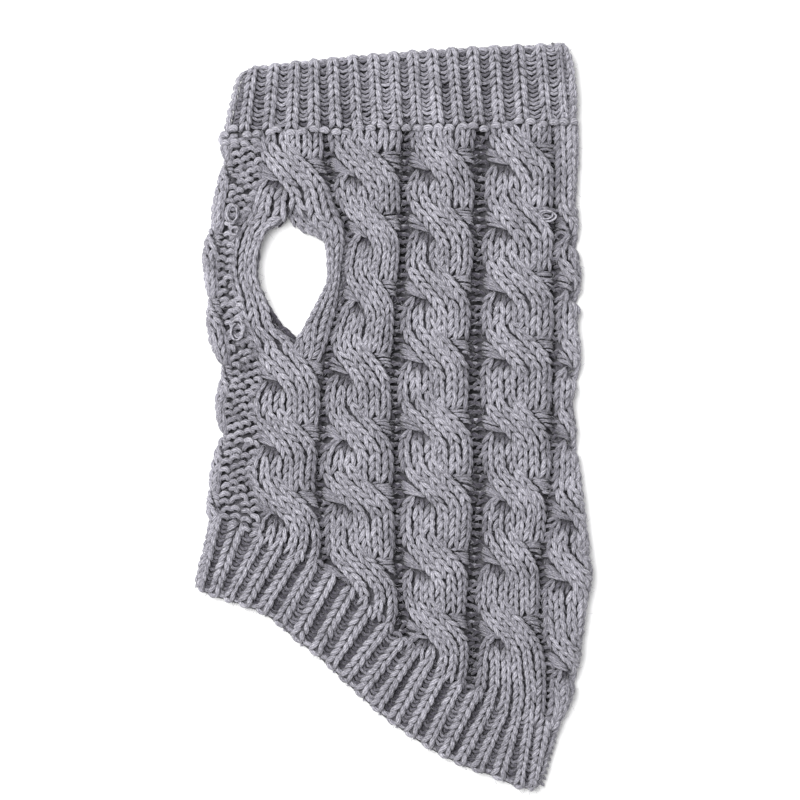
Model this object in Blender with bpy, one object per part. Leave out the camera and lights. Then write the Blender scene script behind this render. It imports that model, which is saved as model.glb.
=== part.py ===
"""Dog sweater in cable knit, lying flat on its side.

A body tube of rope cables between purl ditches, a ribbed collar at the neck and a ribbed hem band
along the slanted lower edge. The tube is pressed flat, so the near layer lies on the far layer, and
the leg holes of the two layers lie over each other. The underside is flat where it rests.

Metres, +Z up, +Y towards the neck. The origin is under the middle of the sweater, on the surface that
it lies on. The tables are in millimetres, and MM turns them to metres.
"""
import math

import bpy
import bmesh
from mathutils import Vector

MM = 0.001

# ---- layers, from the surface up (mm) ----
FAR_TOP = 4.4          # inner face of the far layer
NEAR_BASE = 4.7        # inner face of the near layer
DITCH_TOP = 7.0        # purl ground of the near layer, at the bottom of the ditches
STRAND_EDGE = 8.8      # where a cable strand drops into a ditch
STRAND_TOP = 11.2      # crest of a strand lying straight
CROSS_TOP = 12.8       # crest of the front strand at a crossing
CROSS_DIP = 1.8        # how far the back strand sinks under it
SEAM_GAP = 0.3         # between the body and a band, along the seam
FOLD_REACH = 7.0       # how far in from a fold the near layer is still rounding over
UNDER_REACH = 3.0      # the same for the far layer

# ---- ribbed bands (mm) ----
BAND_NEAR = 4.6        # inner face of a band's near wall
BAND_FAR = 4.0         # inner face of its far wall
RIB_FLOOR = 7.2        # purl column between two ribs
RIB_TOP = 9.8          # knit column of a rib
RIM_DROP = 1.0         # how much lower a band is at its free edge
RIM_SCALLOP = 1.2      # how far a rib stands past a ditch at the free edge
RIB_STEPS = 6          # columns of the mesh in one rib
BAND_ROWS = 6          # rows of the mesh along a rib

# ---- body mesh ----
BODY_ROWS = 52                                       # rows from the collar seam to the hem seam
STRAND_STEPS = (0.0, 0.10, 0.30, 0.5, 0.70, 0.90, 1.0)   # columns across one cable
FOLD_STEPS = (0.0, 0.5, 1.8)                         # columns that round a fold, in from it (mm)
DITCH_HALF = 1.3                                     # half the floor of a ditch (mm)
CROSS_HALF = 11.0                                    # half the length of a crossing, along the cable

# ---- the lines that run down the body, a row for each height (mm) ----
# left, right: folds.  c0: right side of the cable on the left fold.  c1: left side of the hole cable.
# d12, d23, d34: ditches between the cables.  c5: left side of the cable on the right fold.
LINES = (
    # y,      left,   c0,     c1,     d12,    d23,   d34,   c5,    right
    (148.0,  -86.0,  -82.0,  -68.0,  -33.0,   7.5,   45.5,  81.5,  94.0),
    (139.0,  -86.8,  -81.5,  -68.0,  -32.5,   7.5,   45.0,  82.0,  94.3),
    (125.0,  -84.5,  -78.0,  -68.5,  -31.5,   7.0,   44.8,  82.5,  94.2),
    (108.0,  -89.5,  -82.0,  -72.0,  -28.0,   6.5,   44.5,  82.5,  93.0),
    (92.0,   -91.5,  -82.5,  -79.0,  -21.8,   6.5,   44.0,  82.5,  93.3),
    (74.0,   -94.5,  -85.5,  -81.8,  -24.2,   5.5,   43.5,  82.5,  94.7),
    (56.0,   -91.7,  -84.0,  -78.0,  -26.0,   4.0,   43.0,  82.5,  93.9),
    (38.0,   -91.3,  -81.0,  -72.5,  -30.5,   3.0,   42.5,  82.5,  94.3),
    (21.0,   -84.7,  -78.5,  -68.5,  -33.0,   2.0,   42.2,  82.0,  94.2),
    (5.0,    -89.0,  -82.5,  -71.8,  -34.0,   2.0,   42.2,  81.5,  91.5),
    (-11.0,  -86.3,  -82.5,  -68.5,  -34.5,   2.5,   43.5,  81.5,  92.8),
    (-29.0,  -91.3,  -85.0,  -72.5,  -36.5,   3.0,   44.2,  81.0,  95.3),
    (-49.0,  -92.0,  -84.0,  -68.0,  -34.8,   3.5,   43.5,  79.0,  96.5),
    (-68.0,  -93.0,  -83.0,  -66.0,  -33.5,   4.0,   42.5,  76.5, 100.2),
    (-90.0,  -93.0,  -83.0,  -66.0,  -31.0,   4.8,   40.5,  75.5,  99.6),
    (-112.0, -93.0,  -83.0,  -66.0,  -28.0,   7.0,   41.5,  76.5,  96.0),
    (-124.0, -93.0,  -83.0,  -66.0,  -26.0,   9.0,   41.5,  78.0,  93.5),
    (-140.0, -93.0,  -83.0,  -66.0,  -24.0,  11.0,   42.0,  79.0,  91.7),
    (-158.0, -93.0,  -83.0,  -66.0,  -22.0,  12.0,   42.0,  78.0,  84.0),
)
LINE_NAMES = ("left", "c0", "c1", "d12", "d23", "d34", "c5", "right")

# ---- heights at which the strands of each cable cross (mm) ----
CROSSINGS = {
    "fold_left": (123, 88, 53, 20, -14, -43),
    "hole": (124, 23, -10, -44),
    "second": (126, 95, 62, 26, -7, -39, -77),
    "third": (128, 98, 65, 33, -2, -35, -72, -105),
    "fourth": (131, 99, 67, 34, -3, -37, -69, -106),
    "fold_right": (95, 68, 29, -7, -47, -77, -122),
}

# ---- leg hole: edges of the slit in the near and the far layer (mm) ----
HOLE = (
    # y,     near_l, near_r, far_l,  far_r
    (106.0,  -51.3,  -51.1,  -51.2,  -51.2),
    (99.5,   -52.5,  -43.5,  -51.8,  -51.4),
    (95.0,   -60.0,  -37.5,  -60.2,  -46.5),
    (90.0,   -63.3,  -34.8,  -63.6,  -35.5),
    (83.5,   -65.4,  -32.6,  -65.3,  -32.6),
    (74.5,   -66.5,  -31.8,  -66.5,  -31.8),
    (68.0,   -66.0,  -32.4,  -65.9,  -32.4),
    (61.0,   -63.4,  -35.6,  -63.3,  -35.6),
    (54.0,   -60.8,  -39.2,  -59.6,  -39.2),
    (45.0,   -58.3,  -43.6,  -53.3,  -43.8),
    (39.8,   -52.0,  -46.8,  -47.9,  -46.8),
    (37.5,   -48.5,  -48.3,  -47.2,  -47.2),
)
HOLE_NAMES = ("near_l", "near_r", "far_l", "far_r")
SLIT_EASE = 18.0             # past the slit's ends, the length over which the stitches close up again

# ---- collar: its two folds, from the free edge (0) down to the seam (1) ----
COLLAR = (
    # along, left_x, left_y, right_x, right_y
    (0.00,  -74.0,  174.0,   90.5,   186.9),
    (0.25,  -79.0,  169.5,   94.3,   178.0),
    (0.50,  -81.3,  160.5,   96.2,   166.0),
    (0.75,  -84.0,  150.5,   96.0,   156.0),
    (1.00,  -85.5,  141.5,   93.8,   147.0),
)
COLLAR_WIDTH = 179.3         # between its folds at the seam (mm)
COLLAR_CROWN = 2.6           # how far the free edge bows up between the folds (mm)
COLLAR_RIBS = 16.8           # ribs across the near side
COLLAR_PHASE = 0.93          # where the first rib stands, in ribs from the left fold

# ---- hem band: where a rib leaves the seam and where it ends (mm) ----
HEM = (
    # rib,  seam_x, seam_y,  edge_x, edge_y
    (0.0,  -91.8,  -49.5,  -100.4,  -85.5),
    (1.0,  -82.5,  -52.5,   -92.8,  -89.0),
    (2.2,  -68.5,  -60.0,   -84.2,  -92.0),
    (3.6,  -56.0,  -66.0,   -73.2,  -95.4),
    (4.9,  -44.0,  -71.5,   -61.8, -100.4),
    (6.6,  -29.0,  -80.5,   -46.8, -112.8),
    (7.9,  -16.8,  -90.5,   -35.2, -121.8),
    (10.0,   0.8, -109.8,   -20.2, -135.8),
    (12.2,  15.8, -121.8,    -2.2, -151.8),
    (14.9,  36.8, -136.5,    21.2, -167.8),
    (16.9,  53.2, -145.0,    37.2, -175.8),
    (18.2,  61.8, -148.5,    50.2, -180.4),
    (19.5,  69.8, -151.2,    64.2, -186.3),
    (20.6,  78.0, -153.8,    71.8, -187.2),
    (21.2,  85.8, -156.5,    76.8, -185.4),
)
HEM_PHASE = 0.5              # where the first rib of the hem stands, in ribs from the left fold
HEM_WIDTH = 205.0            # length of the hem's free edge, from fold to fold (mm)

YARN_GREY = (0.262, 0.255, 0.290)


# ---------------------------------------------------------------- curves through the tables
def eased(rows, key, column):
    """Value of a table's column at key, on a smooth curve through its rows."""
    if rows[0][0] > rows[-1][0]:
        rows = rows[::-1]
    key = min(max(key, rows[0][0]), rows[-1][0])
    i = 0
    while i < len(rows) - 2 and rows[i + 1][0] < key:
        i += 1
    start, stop = rows[i][column], rows[i + 1][column]
    step = rows[i + 1][0] - rows[i][0]

    def slope(j):
        if j in (0, len(rows) - 1):
            return (stop - start) / step
        return (rows[j + 1][column] - rows[j - 1][column]) / (rows[j + 1][0] - rows[j - 1][0])

    t = (key - rows[i][0]) / step
    blend = t * t * (3 - 2 * t)
    bend = t * (1 - t) * ((1 - t) * slope(i) - t * slope(i + 1))
    return start + (stop - start) * blend + step * bend


def line_x(name, y):
    return eased(LINES, y, 1 + LINE_NAMES.index(name))


def hole_x(name, y):
    return eased(HOLE, y, 1 + HOLE_NAMES.index(name))


def hem_point(rib, along):
    """Point on the hem band: along is 0 at the seam and 1 at the free edge."""
    seam_x, seam_y, edge_x, edge_y = [eased(HEM, rib, 1 + k) for k in range(4)]
    return seam_x + (edge_x - seam_x) * along, seam_y + (edge_y - seam_y) * along


def hem_seam_y(x):
    """Height of the hem seam at x."""
    low, high = 0.0, HEM[-1][0]
    for _ in range(24):
        middle = 0.5 * (low + high)
        if hem_point(middle, 0.0)[0] < x:
            low = middle
        else:
            high = middle
    return hem_point(low, 0.0)[1]


def collar_point(across, along):
    """Point on the collar: across runs from the left fold to the right, along from the edge down."""
    left_x, left_y, right_x, right_y = [eased(COLLAR, along, 1 + k) for k in range(4)]
    crown = COLLAR_CROWN * (1 - along) * math.sin(math.pi * across) ** 0.7
    return left_x + (right_x - left_x) * across, left_y + (right_y - left_y) * across + crown


def collar_seam_y(x):
    """Height of the collar seam at x."""
    _, left_x, left_y, right_x, right_y = COLLAR[-1]
    return left_y + (right_y - left_y) * (x - left_x) / (right_x - left_x)


# ---------------------------------------------------------------- heights of the near layer
def swing(crossings, y):
    """Where the front strand lies: -1 on the left, 1 on the right; and how deep in a crossing it is."""
    for centre in crossings:
        part = (centre - y) / CROSS_HALF
        if abs(part) < 1:
            return math.sin(0.5 * math.pi * part), math.cos(0.5 * math.pi * part)
    return 1.0, 0.0


def strand_height(crossings, across, y):
    """Top of a two-strand cable; across is 0 at its left side and 1 at its right side."""
    if across <= 0 or across >= 1:
        return DITCH_TOP
    side, depth = swing(crossings, y)
    front_crest = STRAND_TOP + (CROSS_TOP - STRAND_TOP) * depth
    back_crest = STRAND_TOP - CROSS_DIP * depth
    best = DITCH_TOP
    for centre, crest in ((0.5 + 0.25 * side, front_crest), (0.5 - 0.25 * side, back_crest)):
        off = abs(across - centre) / 0.27
        if off < 1:
            best = max(best, STRAND_EDGE + (crest - STRAND_EDGE) * math.sqrt(1 - off * off))
    return best


def rounded(height, base, inset, reach):
    """Height of a surface that rounds over to base at a fold, inset mm in from it."""
    if inset >= reach:
        return height
    part = 1 - inset / reach
    return base + (height - base) * math.sqrt(max(0.0, 1 - part * part))


def body_columns():
    """The near layer's columns, left to right: x and height as functions of y, and "slit" on one."""
    columns = []

    def add(place, height, split=None):
        columns.append((place, height, split))

    def fold_cable(edge, inner, name, side):
        for inset in FOLD_STEPS:
            add(lambda y, d=inset: line_x(edge, y) + side * d,
                lambda y, d=inset: rounded(STRAND_TOP, NEAR_BASE, d, FOLD_REACH))
        for part in (0.45, 0.85):
            def place(y, p=part):
                outer = line_x(edge, y) + side * FOLD_STEPS[-1]
                return outer + (line_x(inner, y) - outer) * p
            add(place, lambda y, p=part: strand_height(CROSSINGS[name], 0.75 + 0.22 * p, y) - 0.9 * p)
        add(lambda y: line_x(inner, y) + side * DITCH_HALF * 0.5, lambda y: DITCH_TOP)

    def cable(left, right, name):
        for part in STRAND_STEPS:
            def place(y, p=part):
                low = line_x(left, y) + DITCH_HALF
                high = line_x(right, y) - DITCH_HALF
                return low + (high - low) * p
            add(place, lambda y, p=part: strand_height(CROSSINGS[name], p, y))

    def hole_cable():
        def strand(side_line, edge, parts, side):
            for part in parts:
                def place(y, p=part):
                    low = line_x(side_line, y) + side * DITCH_HALF * 0.5
                    return low + (slit_x(edge, y) - low) * p

                def height(y, p=part):
                    if hole_rows(y):
                        return rim_height(p)
                    across = 0.5 * p if side > 0 else 1 - 0.5 * p
                    return strand_height(CROSSINGS["hole"], across, y)
                add(place, height)

        strand("c1", "near_l", (0.0, 0.2, 0.6), 1)
        add(lambda y: 0.5 * (slit_x("near_l", y) + slit_x("near_r", y)),
            lambda y: strand_height(CROSSINGS["hole"], 0.5, y), "slit")
        strand("d12", "near_r", (0.6, 0.2, 0.0), -1)

    fold_cable("left", "c0", "fold_left", 1)
    add(lambda y: 0.5 * (line_x("c0", y) + line_x("c1", y)), lambda y: DITCH_TOP)
    hole_cable()
    cable("d12", "d23", "second")
    cable("d23", "d34", "third")
    cable("d34", "c5", "fourth")
    start = len(columns)
    fold_cable("right", "c5", "fold_right", -1)
    columns[start:] = columns[start:][::-1]
    return columns


def hole_rows(y):
    return HOLE[-1][0] < y < HOLE[0][0]


def slit_x(name, y):
    """Edge of the slit at y. Past its ends it closes and eases over to the middle of the cable."""
    if hole_rows(y):
        return hole_x(name, y)

    def middle(at):
        return 0.5 * (line_x("c1", at) + line_x("d12", at))

    end = HOLE[0] if y >= HOLE[0][0] else HOLE[-1]
    tip = 0.5 * (end[1] + end[2])
    return middle(y) + (tip - middle(end[0])) * max(0.0, 1 - abs(y - end[0]) / SLIT_EASE)


def rim_height(part):
    """A strand beside the leg hole: 0 at the ditch, 1 at the rolled rim."""
    if part <= 0:
        return DITCH_TOP
    return STRAND_EDGE + (STRAND_TOP - STRAND_EDGE) * math.sin(math.pi * min(1.0, 0.15 + 0.75 * part))


# ---------------------------------------------------------------- mesh helpers
def vertex(bm, x, y, z):
    return bm.verts.new((x * MM, y * MM, z * MM))


def face(bm, *verts):
    kept = []
    for v in verts:
        if v not in kept:
            kept.append(v)
    if len(kept) > 2:
        bm.faces.new(kept)


def strip(bm, row_a, row_b):
    """Faces between two rows of vertices of the same length."""
    for k in range(len(row_a) - 1):
        face(bm, row_a[k], row_a[k + 1], row_b[k + 1], row_b[k])


def fill(bm, outline, rim=None):
    """Flat face inside an outline. Round a rim it is two faces, which meet above and below the rim."""
    if rim is None:
        bm.faces.new(outline)
        return

    def halves(loop, high, low):
        forward = loop[high:low + 1] if high <= low else loop[high:] + loop[:low + 1]
        backward = loop[low:high + 1] if low <= high else loop[low:] + loop[:high + 1]
        return sorted((forward, backward[::-1]), key=lambda run: sum(v.co.x for v in run) / len(run))

    def nearest(x, y):
        return min(range(len(outline)), key=lambda k: (outline[k].co.xy - Vector((x, y))).length)

    high = max(range(len(rim)), key=lambda k: rim[k].co.y)
    low = min(range(len(rim)), key=lambda k: rim[k].co.y)
    above = nearest(rim[high].co.x, COLLAR[-1][2] * MM)
    below = nearest(rim[low].co.x, hem_seam_y(rim[low].co.x / MM) * MM)
    for outer, inner in zip(halves(outline, above, below), halves(rim, high, low)):
        bm.faces.new(outer + inner[::-1])


def knit_material():
    material = bpy.data.materials.new("grey_knit")
    material.use_nodes = True
    shader = material.node_tree.nodes["Principled BSDF"]
    shader.inputs["Base Color"].default_value = (*YARN_GREY, 1)
    shader.inputs["Roughness"].default_value = 0.9
    shader.inputs["Metallic"].default_value = 0.0
    return material


def finish(bm, name):
    bmesh.ops.recalc_face_normals(bm, faces=bm.faces)
    mesh = bpy.data.meshes.new(name)
    bm.to_mesh(mesh)
    bm.free()
    mesh.shade_smooth()
    mesh.set_sharp_from_angle(angle=math.radians(50))
    mesh.materials.append(knit_material())
    node = bpy.data.objects.new(name, mesh)
    bpy.context.scene.collection.objects.link(node)
    return node


# ---------------------------------------------------------------- body
def column_rows(place):
    """Heights of a column's vertices, from the collar seam to the hem seam."""
    top, bottom = COLLAR[-1][2], HEM[0][2]
    for _ in range(12):
        top = collar_seam_y(place(top)) - 0.5 * SEAM_GAP
        bottom = 0.5 * bottom + 0.5 * (hem_seam_y(place(bottom)) + 0.5 * SEAM_GAP)
    return [top + (bottom - top) * j / BODY_ROWS for j in range(BODY_ROWS + 1)]


def slit_rows(rows, top, bottom):
    """Moves the rows next to the slit's ends onto them, and returns the rows inside it."""
    first = min(range(len(rows)), key=lambda j: abs(rows[j] - top))
    last = min(range(len(rows)), key=lambda j: abs(rows[j] - bottom))
    rows[first] = top
    rows[last] = bottom
    return range(first + 1, last)


def near_layer():
    bm = bmesh.new()
    left_of, right_of = [], []
    slit = range(0)
    for place, height, split in body_columns():
        rows = column_rows(place)
        if split:
            slit = slit_rows(rows, HOLE[0][0], HOLE[-1][0])
        column, twin = [], []
        for j, y in enumerate(rows):
            if split and j in slit:
                column.append(vertex(bm, hole_x("near_l", y), y, rim_height(1)))
                twin.append(vertex(bm, hole_x("near_r", y), y, rim_height(1)))
            else:
                column.append(vertex(bm, place(y), y, height(y)))
                twin.append(column[-1])
        left_of.append(column)
        right_of.append(twin)
    for i in range(len(left_of) - 1):
        strip(bm, right_of[i], left_of[i + 1])

    def drop(verts):
        return [bm.verts.new((v.co.x, v.co.y, NEAR_BASE * MM)) for v in verts]

    top_edge = [column[0] for column in left_of]
    hem_edge = [column[-1] for column in left_of]
    top_low = [top_edge[0]] + drop(top_edge[1:-1]) + [top_edge[-1]]
    hem_low = [hem_edge[0]] + drop(hem_edge[1:-1]) + [hem_edge[-1]]
    strip(bm, top_edge, top_low)
    strip(bm, hem_edge, hem_low)
    middle = next(i for i in range(len(left_of)) if left_of[i] != right_of[i])
    ends = (slit.start - 1, slit.stop)
    left_rim = [left_of[middle][j] for j in range(ends[0], ends[1] + 1)]
    right_rim = [right_of[middle][j] for j in slit][::-1]
    rim = left_rim + right_rim
    rim_low = drop(rim)
    strip(bm, rim + rim[:1], rim_low + rim_low[:1])
    outline = top_low + left_of[-1][1:-1] + hem_low[::-1] + left_of[0][1:-1][::-1]
    fill(bm, outline, rim_low)
    return finish(bm, "body_near")


def far_layer():
    bm = bmesh.new()
    folds = []
    for edge, side in (("left", 1), ("right", -1)):
        strips = []
        for inset, z in ((0.0, FAR_TOP), (0.35, 2.3), (1.3, 0.7), (UNDER_REACH, 0.0)):
            def place(y, d=inset):
                return line_x(edge, y) + side * d
            strips.append([vertex(bm, place(y), y, z) for y in column_rows(place)])
        for k in range(3):
            strip(bm, strips[k], strips[k + 1])
        folds.append(strips)
    left, right = folds

    def seam(seam_y, count, row, shift):
        """Upper and lower vertices along a seam, between the two folds."""
        x0, x1 = left[3][row].co.x / MM, right[3][row].co.x / MM
        upper, lower = [], []
        for k in range(1, count):
            x = x0 + (x1 - x0) * k / count
            upper.append(vertex(bm, x, seam_y(x) + shift, FAR_TOP))
            lower.append(vertex(bm, x, seam_y(x) + shift, 0.0))
        ends = (left[3][row], right[3][row])
        strip(bm, [ends[0]] + lower + [ends[1]], [left[0][row]] + upper + [right[0][row]])
        face(bm, left[0][row], left[1][row], left[2][row], left[3][row])
        face(bm, right[0][row], right[1][row], right[2][row], right[3][row])
        return upper, lower

    top_upper, top_lower = seam(collar_seam_y, 8, 0, -0.5 * SEAM_GAP)
    hem_upper, hem_lower = seam(hem_seam_y, 36, BODY_ROWS, 0.5 * SEAM_GAP)
    slit_top, slit_bottom = HOLE[1][0], HOLE[-1][0]
    steps = 16
    heights = [slit_top + (slit_bottom - slit_top) * k / steps for k in range(steps + 1)]
    rim = [(hole_x("far_l", y), y) for y in heights]
    rim += [(hole_x("far_r", y), y) for y in heights[1:-1]][::-1]
    rim_upper = [vertex(bm, x, y, FAR_TOP) for x, y in rim]
    rim_lower = [vertex(bm, x, y, 0.0) for x, y in rim]
    strip(bm, rim_upper + rim_upper[:1], rim_lower + rim_lower[:1])
    fill(bm, left[0] + hem_upper + right[0][::-1] + top_upper[::-1], rim_upper)
    fill(bm, left[3] + hem_lower + right[3][::-1] + top_lower[::-1], rim_lower)
    return finish(bm, "body_far")


# ---------------------------------------------------------------- ribbed bands
def rib_wave(ribs, phase):
    """1 on the crest of a rib and 0 in the ditch between two."""
    return (0.5 + 0.5 * math.cos(2 * math.pi * (ribs - phase))) ** 0.7


def band(name, ribs, phase, point, width):
    """Ribbed tube pressed flat. point gives the plan for (across, along), and width is its size in mm."""
    bm = bmesh.new()
    folds = (0.0, 0.4, 1.4, UNDER_REACH)
    count = round(ribs * RIB_STEPS)
    inner = [k / count for k in range(1, count) if 4.5 < k / count * width < width - 4.5]
    places = [inset / width for inset in folds] + inner + [1 - inset / width for inset in folds[::-1]]
    last = len(places) - 1
    side = len(folds) - 1

    def inset_of(across):
        return min(across, 1 - across) * width

    def spot(across, along):
        wave = rib_wave(across * ribs, phase)
        x, y = point(across, along)
        if along == 0:
            x2, y2 = point(across, 0.1)
            length = math.hypot(x - x2, y - y2)
            reach = RIM_SCALLOP * (wave - 1) * min(1.0, inset_of(across) / 6)
            x += (x - x2) / length * reach
            y += (y - y2) / length * reach
        return x, y, wave

    top, under = [], {}
    for i, across in enumerate(places):
        column = []
        for j in range(BAND_ROWS + 1):
            along = (j / BAND_ROWS) ** 1.15
            x, y, wave = spot(across, along)
            crest = RIB_FLOOR + (RIB_TOP - RIB_FLOOR) * wave - (RIM_DROP if j == 0 else 0)
            column.append(vertex(bm, x, y, rounded(crest, BAND_FAR, inset_of(across), FOLD_REACH)))
        top.append(column)
    for i, across in enumerate(places):
        if i in (0, last):
            under[i] = top[i]
            continue
        z = BAND_FAR - rounded(BAND_FAR, 0.0, inset_of(across), UNDER_REACH)
        rows = range(BAND_ROWS + 1) if i <= side or i >= last - side else (0, BAND_ROWS)
        under[i] = [vertex(bm, top[i][j].co.x / MM, top[i][j].co.y / MM, z) for j in rows]
    for i in range(last):
        strip(bm, top[i], top[i + 1])
    for i in list(range(side)) + list(range(last - side, last)):
        strip(bm, under[i], under[i + 1])
    slots = []
    for z in (BAND_NEAR, BAND_FAR):
        slots.append([[vertex(bm, top[i][j].co.x / MM, top[i][j].co.y / MM, z)
                       for i in range(side, last - side + 1)] for j in (0, BAND_ROWS)])
    near_slot, far_slot = slots
    for end, j in ((0, 0), (1, BAND_ROWS)):
        span = range(side, last - side + 1)
        strip(bm, [top[i][j] for i in span], near_slot[end])
        strip(bm, [under[i][-end] for i in span], far_slot[end])
        face(bm, *[top[i][j] for i in range(side, -1, -1)], *[under[i][-end] for i in range(1, side + 1)],
             far_slot[end][0], near_slot[end][0])
        face(bm, *[top[i][j] for i in range(last - side, last + 1)],
             *[under[i][-end] for i in range(last - 1, last - side - 1, -1)],
             far_slot[end][-1], near_slot[end][-1])
    for k in (0, -1):
        face(bm, near_slot[0][k], near_slot[1][k], far_slot[1][k], far_slot[0][k])
    fill(bm, near_slot[0] + near_slot[1][::-1])
    fill(bm, far_slot[0] + far_slot[1][::-1])
    low_left, low_right = under[side], under[last - side]
    middle = range(side + 1, last - side)
    low_edge = [under[i][1] for i in middle]
    top_edge = [under[i][0] for i in middle]
    fill(bm, low_left + low_edge + low_right[::-1] + top_edge[::-1])
    return finish(bm, name)


def collar_plan(across, along):
    x, y = collar_point(across, along)
    return x, y + 0.5 * SEAM_GAP * along


def hem_plan(across, along):
    x, y = hem_point(across * HEM[-1][0], 1 - along)
    return x, y - 0.5 * SEAM_GAP * along


def main():
    for item in list(bpy.data.objects):
        bpy.data.objects.remove(item, do_unlink=True)
    near_layer()
    far_layer()
    band("collar", COLLAR_RIBS, COLLAR_PHASE, collar_plan, COLLAR_WIDTH)
    band("hem", HEM[-1][0], HEM_PHASE, hem_plan, HEM_WIDTH)


main()
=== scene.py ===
import math

import bpy
import numpy as np
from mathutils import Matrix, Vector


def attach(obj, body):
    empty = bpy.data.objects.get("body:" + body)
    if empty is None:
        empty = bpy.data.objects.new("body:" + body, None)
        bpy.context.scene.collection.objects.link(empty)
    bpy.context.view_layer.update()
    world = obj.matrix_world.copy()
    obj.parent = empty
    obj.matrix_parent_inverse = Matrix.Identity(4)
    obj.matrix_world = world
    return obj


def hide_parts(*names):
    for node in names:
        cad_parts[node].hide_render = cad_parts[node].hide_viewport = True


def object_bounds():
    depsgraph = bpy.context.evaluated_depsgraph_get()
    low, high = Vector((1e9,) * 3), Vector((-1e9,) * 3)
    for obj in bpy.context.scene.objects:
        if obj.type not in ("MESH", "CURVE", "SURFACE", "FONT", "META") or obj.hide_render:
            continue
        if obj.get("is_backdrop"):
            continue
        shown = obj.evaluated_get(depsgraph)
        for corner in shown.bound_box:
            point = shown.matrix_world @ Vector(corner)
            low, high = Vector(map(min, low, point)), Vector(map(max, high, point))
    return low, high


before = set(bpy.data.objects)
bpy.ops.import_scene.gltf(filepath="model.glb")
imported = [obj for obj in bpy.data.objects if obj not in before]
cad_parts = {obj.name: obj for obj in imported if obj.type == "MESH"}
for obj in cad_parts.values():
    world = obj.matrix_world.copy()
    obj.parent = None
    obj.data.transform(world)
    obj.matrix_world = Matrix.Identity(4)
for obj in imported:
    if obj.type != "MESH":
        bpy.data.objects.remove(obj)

cad_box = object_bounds()
bpy.ops.object.select_all(action="DESELECT")
bpy.context.scene.view_settings.view_transform = "Standard"


# ---- Body cloth --------------------------------------------------------------------------------------
# The sweater's body is one knitted tube, pressed flat, with a leg hole through both layers. This is the
# ground of the cloth, in grey acrylic: the stitches that show are laid on it below.
MM = 0.001             # sizes are in mm, apart from those that say metres
ROW = 4.06             # height of one row of the body
LINES = (
    # y,      left,   c0,     c1,     d12,    d23,   d34,   c5,    right     (folds, band's sides, ditches)
    (148.0,  -86.0,  -82.0,  -68.0,  -33.0,   7.5,   45.5,  81.5,  94.0),
    (139.0,  -86.8,  -81.5,  -68.0,  -32.5,   7.5,   45.0,  82.0,  94.3),
    (125.0,  -84.5,  -78.0,  -68.5,  -31.5,   7.0,   44.8,  82.5,  94.2),
    (108.0,  -89.5,  -82.0,  -72.0,  -28.0,   6.5,   44.5,  82.5,  93.0),
    (92.0,   -91.5,  -82.5,  -79.0,  -21.8,   6.5,   44.0,  82.5,  93.3),
    (74.0,   -94.5,  -85.5,  -81.8,  -24.2,   5.5,   43.5,  82.5,  94.7),
    (56.0,   -91.7,  -84.0,  -78.0,  -26.0,   4.0,   43.0,  82.5,  93.9),
    (38.0,   -91.3,  -81.0,  -72.5,  -30.5,   3.0,   42.5,  82.5,  94.3),
    (21.0,   -84.7,  -78.5,  -68.5,  -33.0,   2.0,   42.2,  82.0,  94.2),
    (5.0,    -89.0,  -82.5,  -71.8,  -34.0,   2.0,   42.2,  81.5,  91.5),
    (-11.0,  -86.3,  -82.5,  -68.5,  -34.5,   2.5,   43.5,  81.5,  92.8),
    (-29.0,  -91.3,  -85.0,  -72.5,  -36.5,   3.0,   44.2,  81.0,  95.3),
    (-49.0,  -92.0,  -84.0,  -68.0,  -34.8,   3.5,   43.5,  79.0,  96.5),
    (-68.0,  -93.0,  -83.0,  -66.0,  -33.5,   4.0,   42.5,  76.5, 100.2),
    (-90.0,  -93.0,  -83.0,  -66.0,  -31.0,   4.8,   40.5,  75.5,  99.6),
    (-112.0, -93.0,  -83.0,  -66.0,  -28.0,   7.0,   41.5,  76.5,  96.0),
    (-124.0, -93.0,  -83.0,  -66.0,  -26.0,   9.0,   41.5,  78.0,  93.5),
    (-140.0, -93.0,  -83.0,  -66.0,  -24.0,  11.0,   42.0,  79.0,  91.7),
    (-158.0, -93.0,  -83.0,  -66.0,  -22.0,  12.0,   42.0,  78.0,  84.0),
)
LINE_NAMES = ("left", "c0", "c1", "d12", "d23", "d34", "c5", "right")
HOLE = (
    # y,     near_l, near_r, far_l,  far_r
    (106.0,  -51.3,  -51.1,  -51.2,  -51.2),
    (99.5,   -52.5,  -43.5,  -51.8,  -51.4),
    (95.0,   -60.0,  -37.5,  -60.2,  -46.5),
    (90.0,   -63.3,  -34.8,  -63.6,  -35.5),
    (83.5,   -65.4,  -32.6,  -65.3,  -32.6),
    (74.5,   -66.5,  -31.8,  -66.5,  -31.8),
    (68.0,   -66.0,  -32.4,  -65.9,  -32.4),
    (61.0,   -63.4,  -35.6,  -63.3,  -35.6),
    (54.0,   -60.8,  -39.2,  -59.6,  -39.2),
    (45.0,   -58.3,  -43.6,  -53.3,  -43.8),
    (39.8,   -52.0,  -46.8,  -47.9,  -46.8),
    (37.5,   -48.5,  -48.3,  -47.2,  -47.2),
)
HOLE_NAMES = ("near_l", "near_r", "far_l", "far_r")
RIB_PITCH = 5.0        # from rib to rib of the hem, past the folds
SLIT_EASE = 18.0       # past the slit's ends, the length over which the stitches close up again
COLLAR = (
    # along, left_x, left_y, right_x, right_y
    (0.00,  -74.0,  174.0,   90.5,   186.9),
    (0.25,  -79.0,  169.5,   94.3,   178.0),
    (0.50,  -81.3,  160.5,   96.2,   166.0),
    (0.75,  -84.0,  150.5,   96.0,   156.0),
    (1.00,  -85.5,  141.5,   93.8,   147.0),
)
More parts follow.
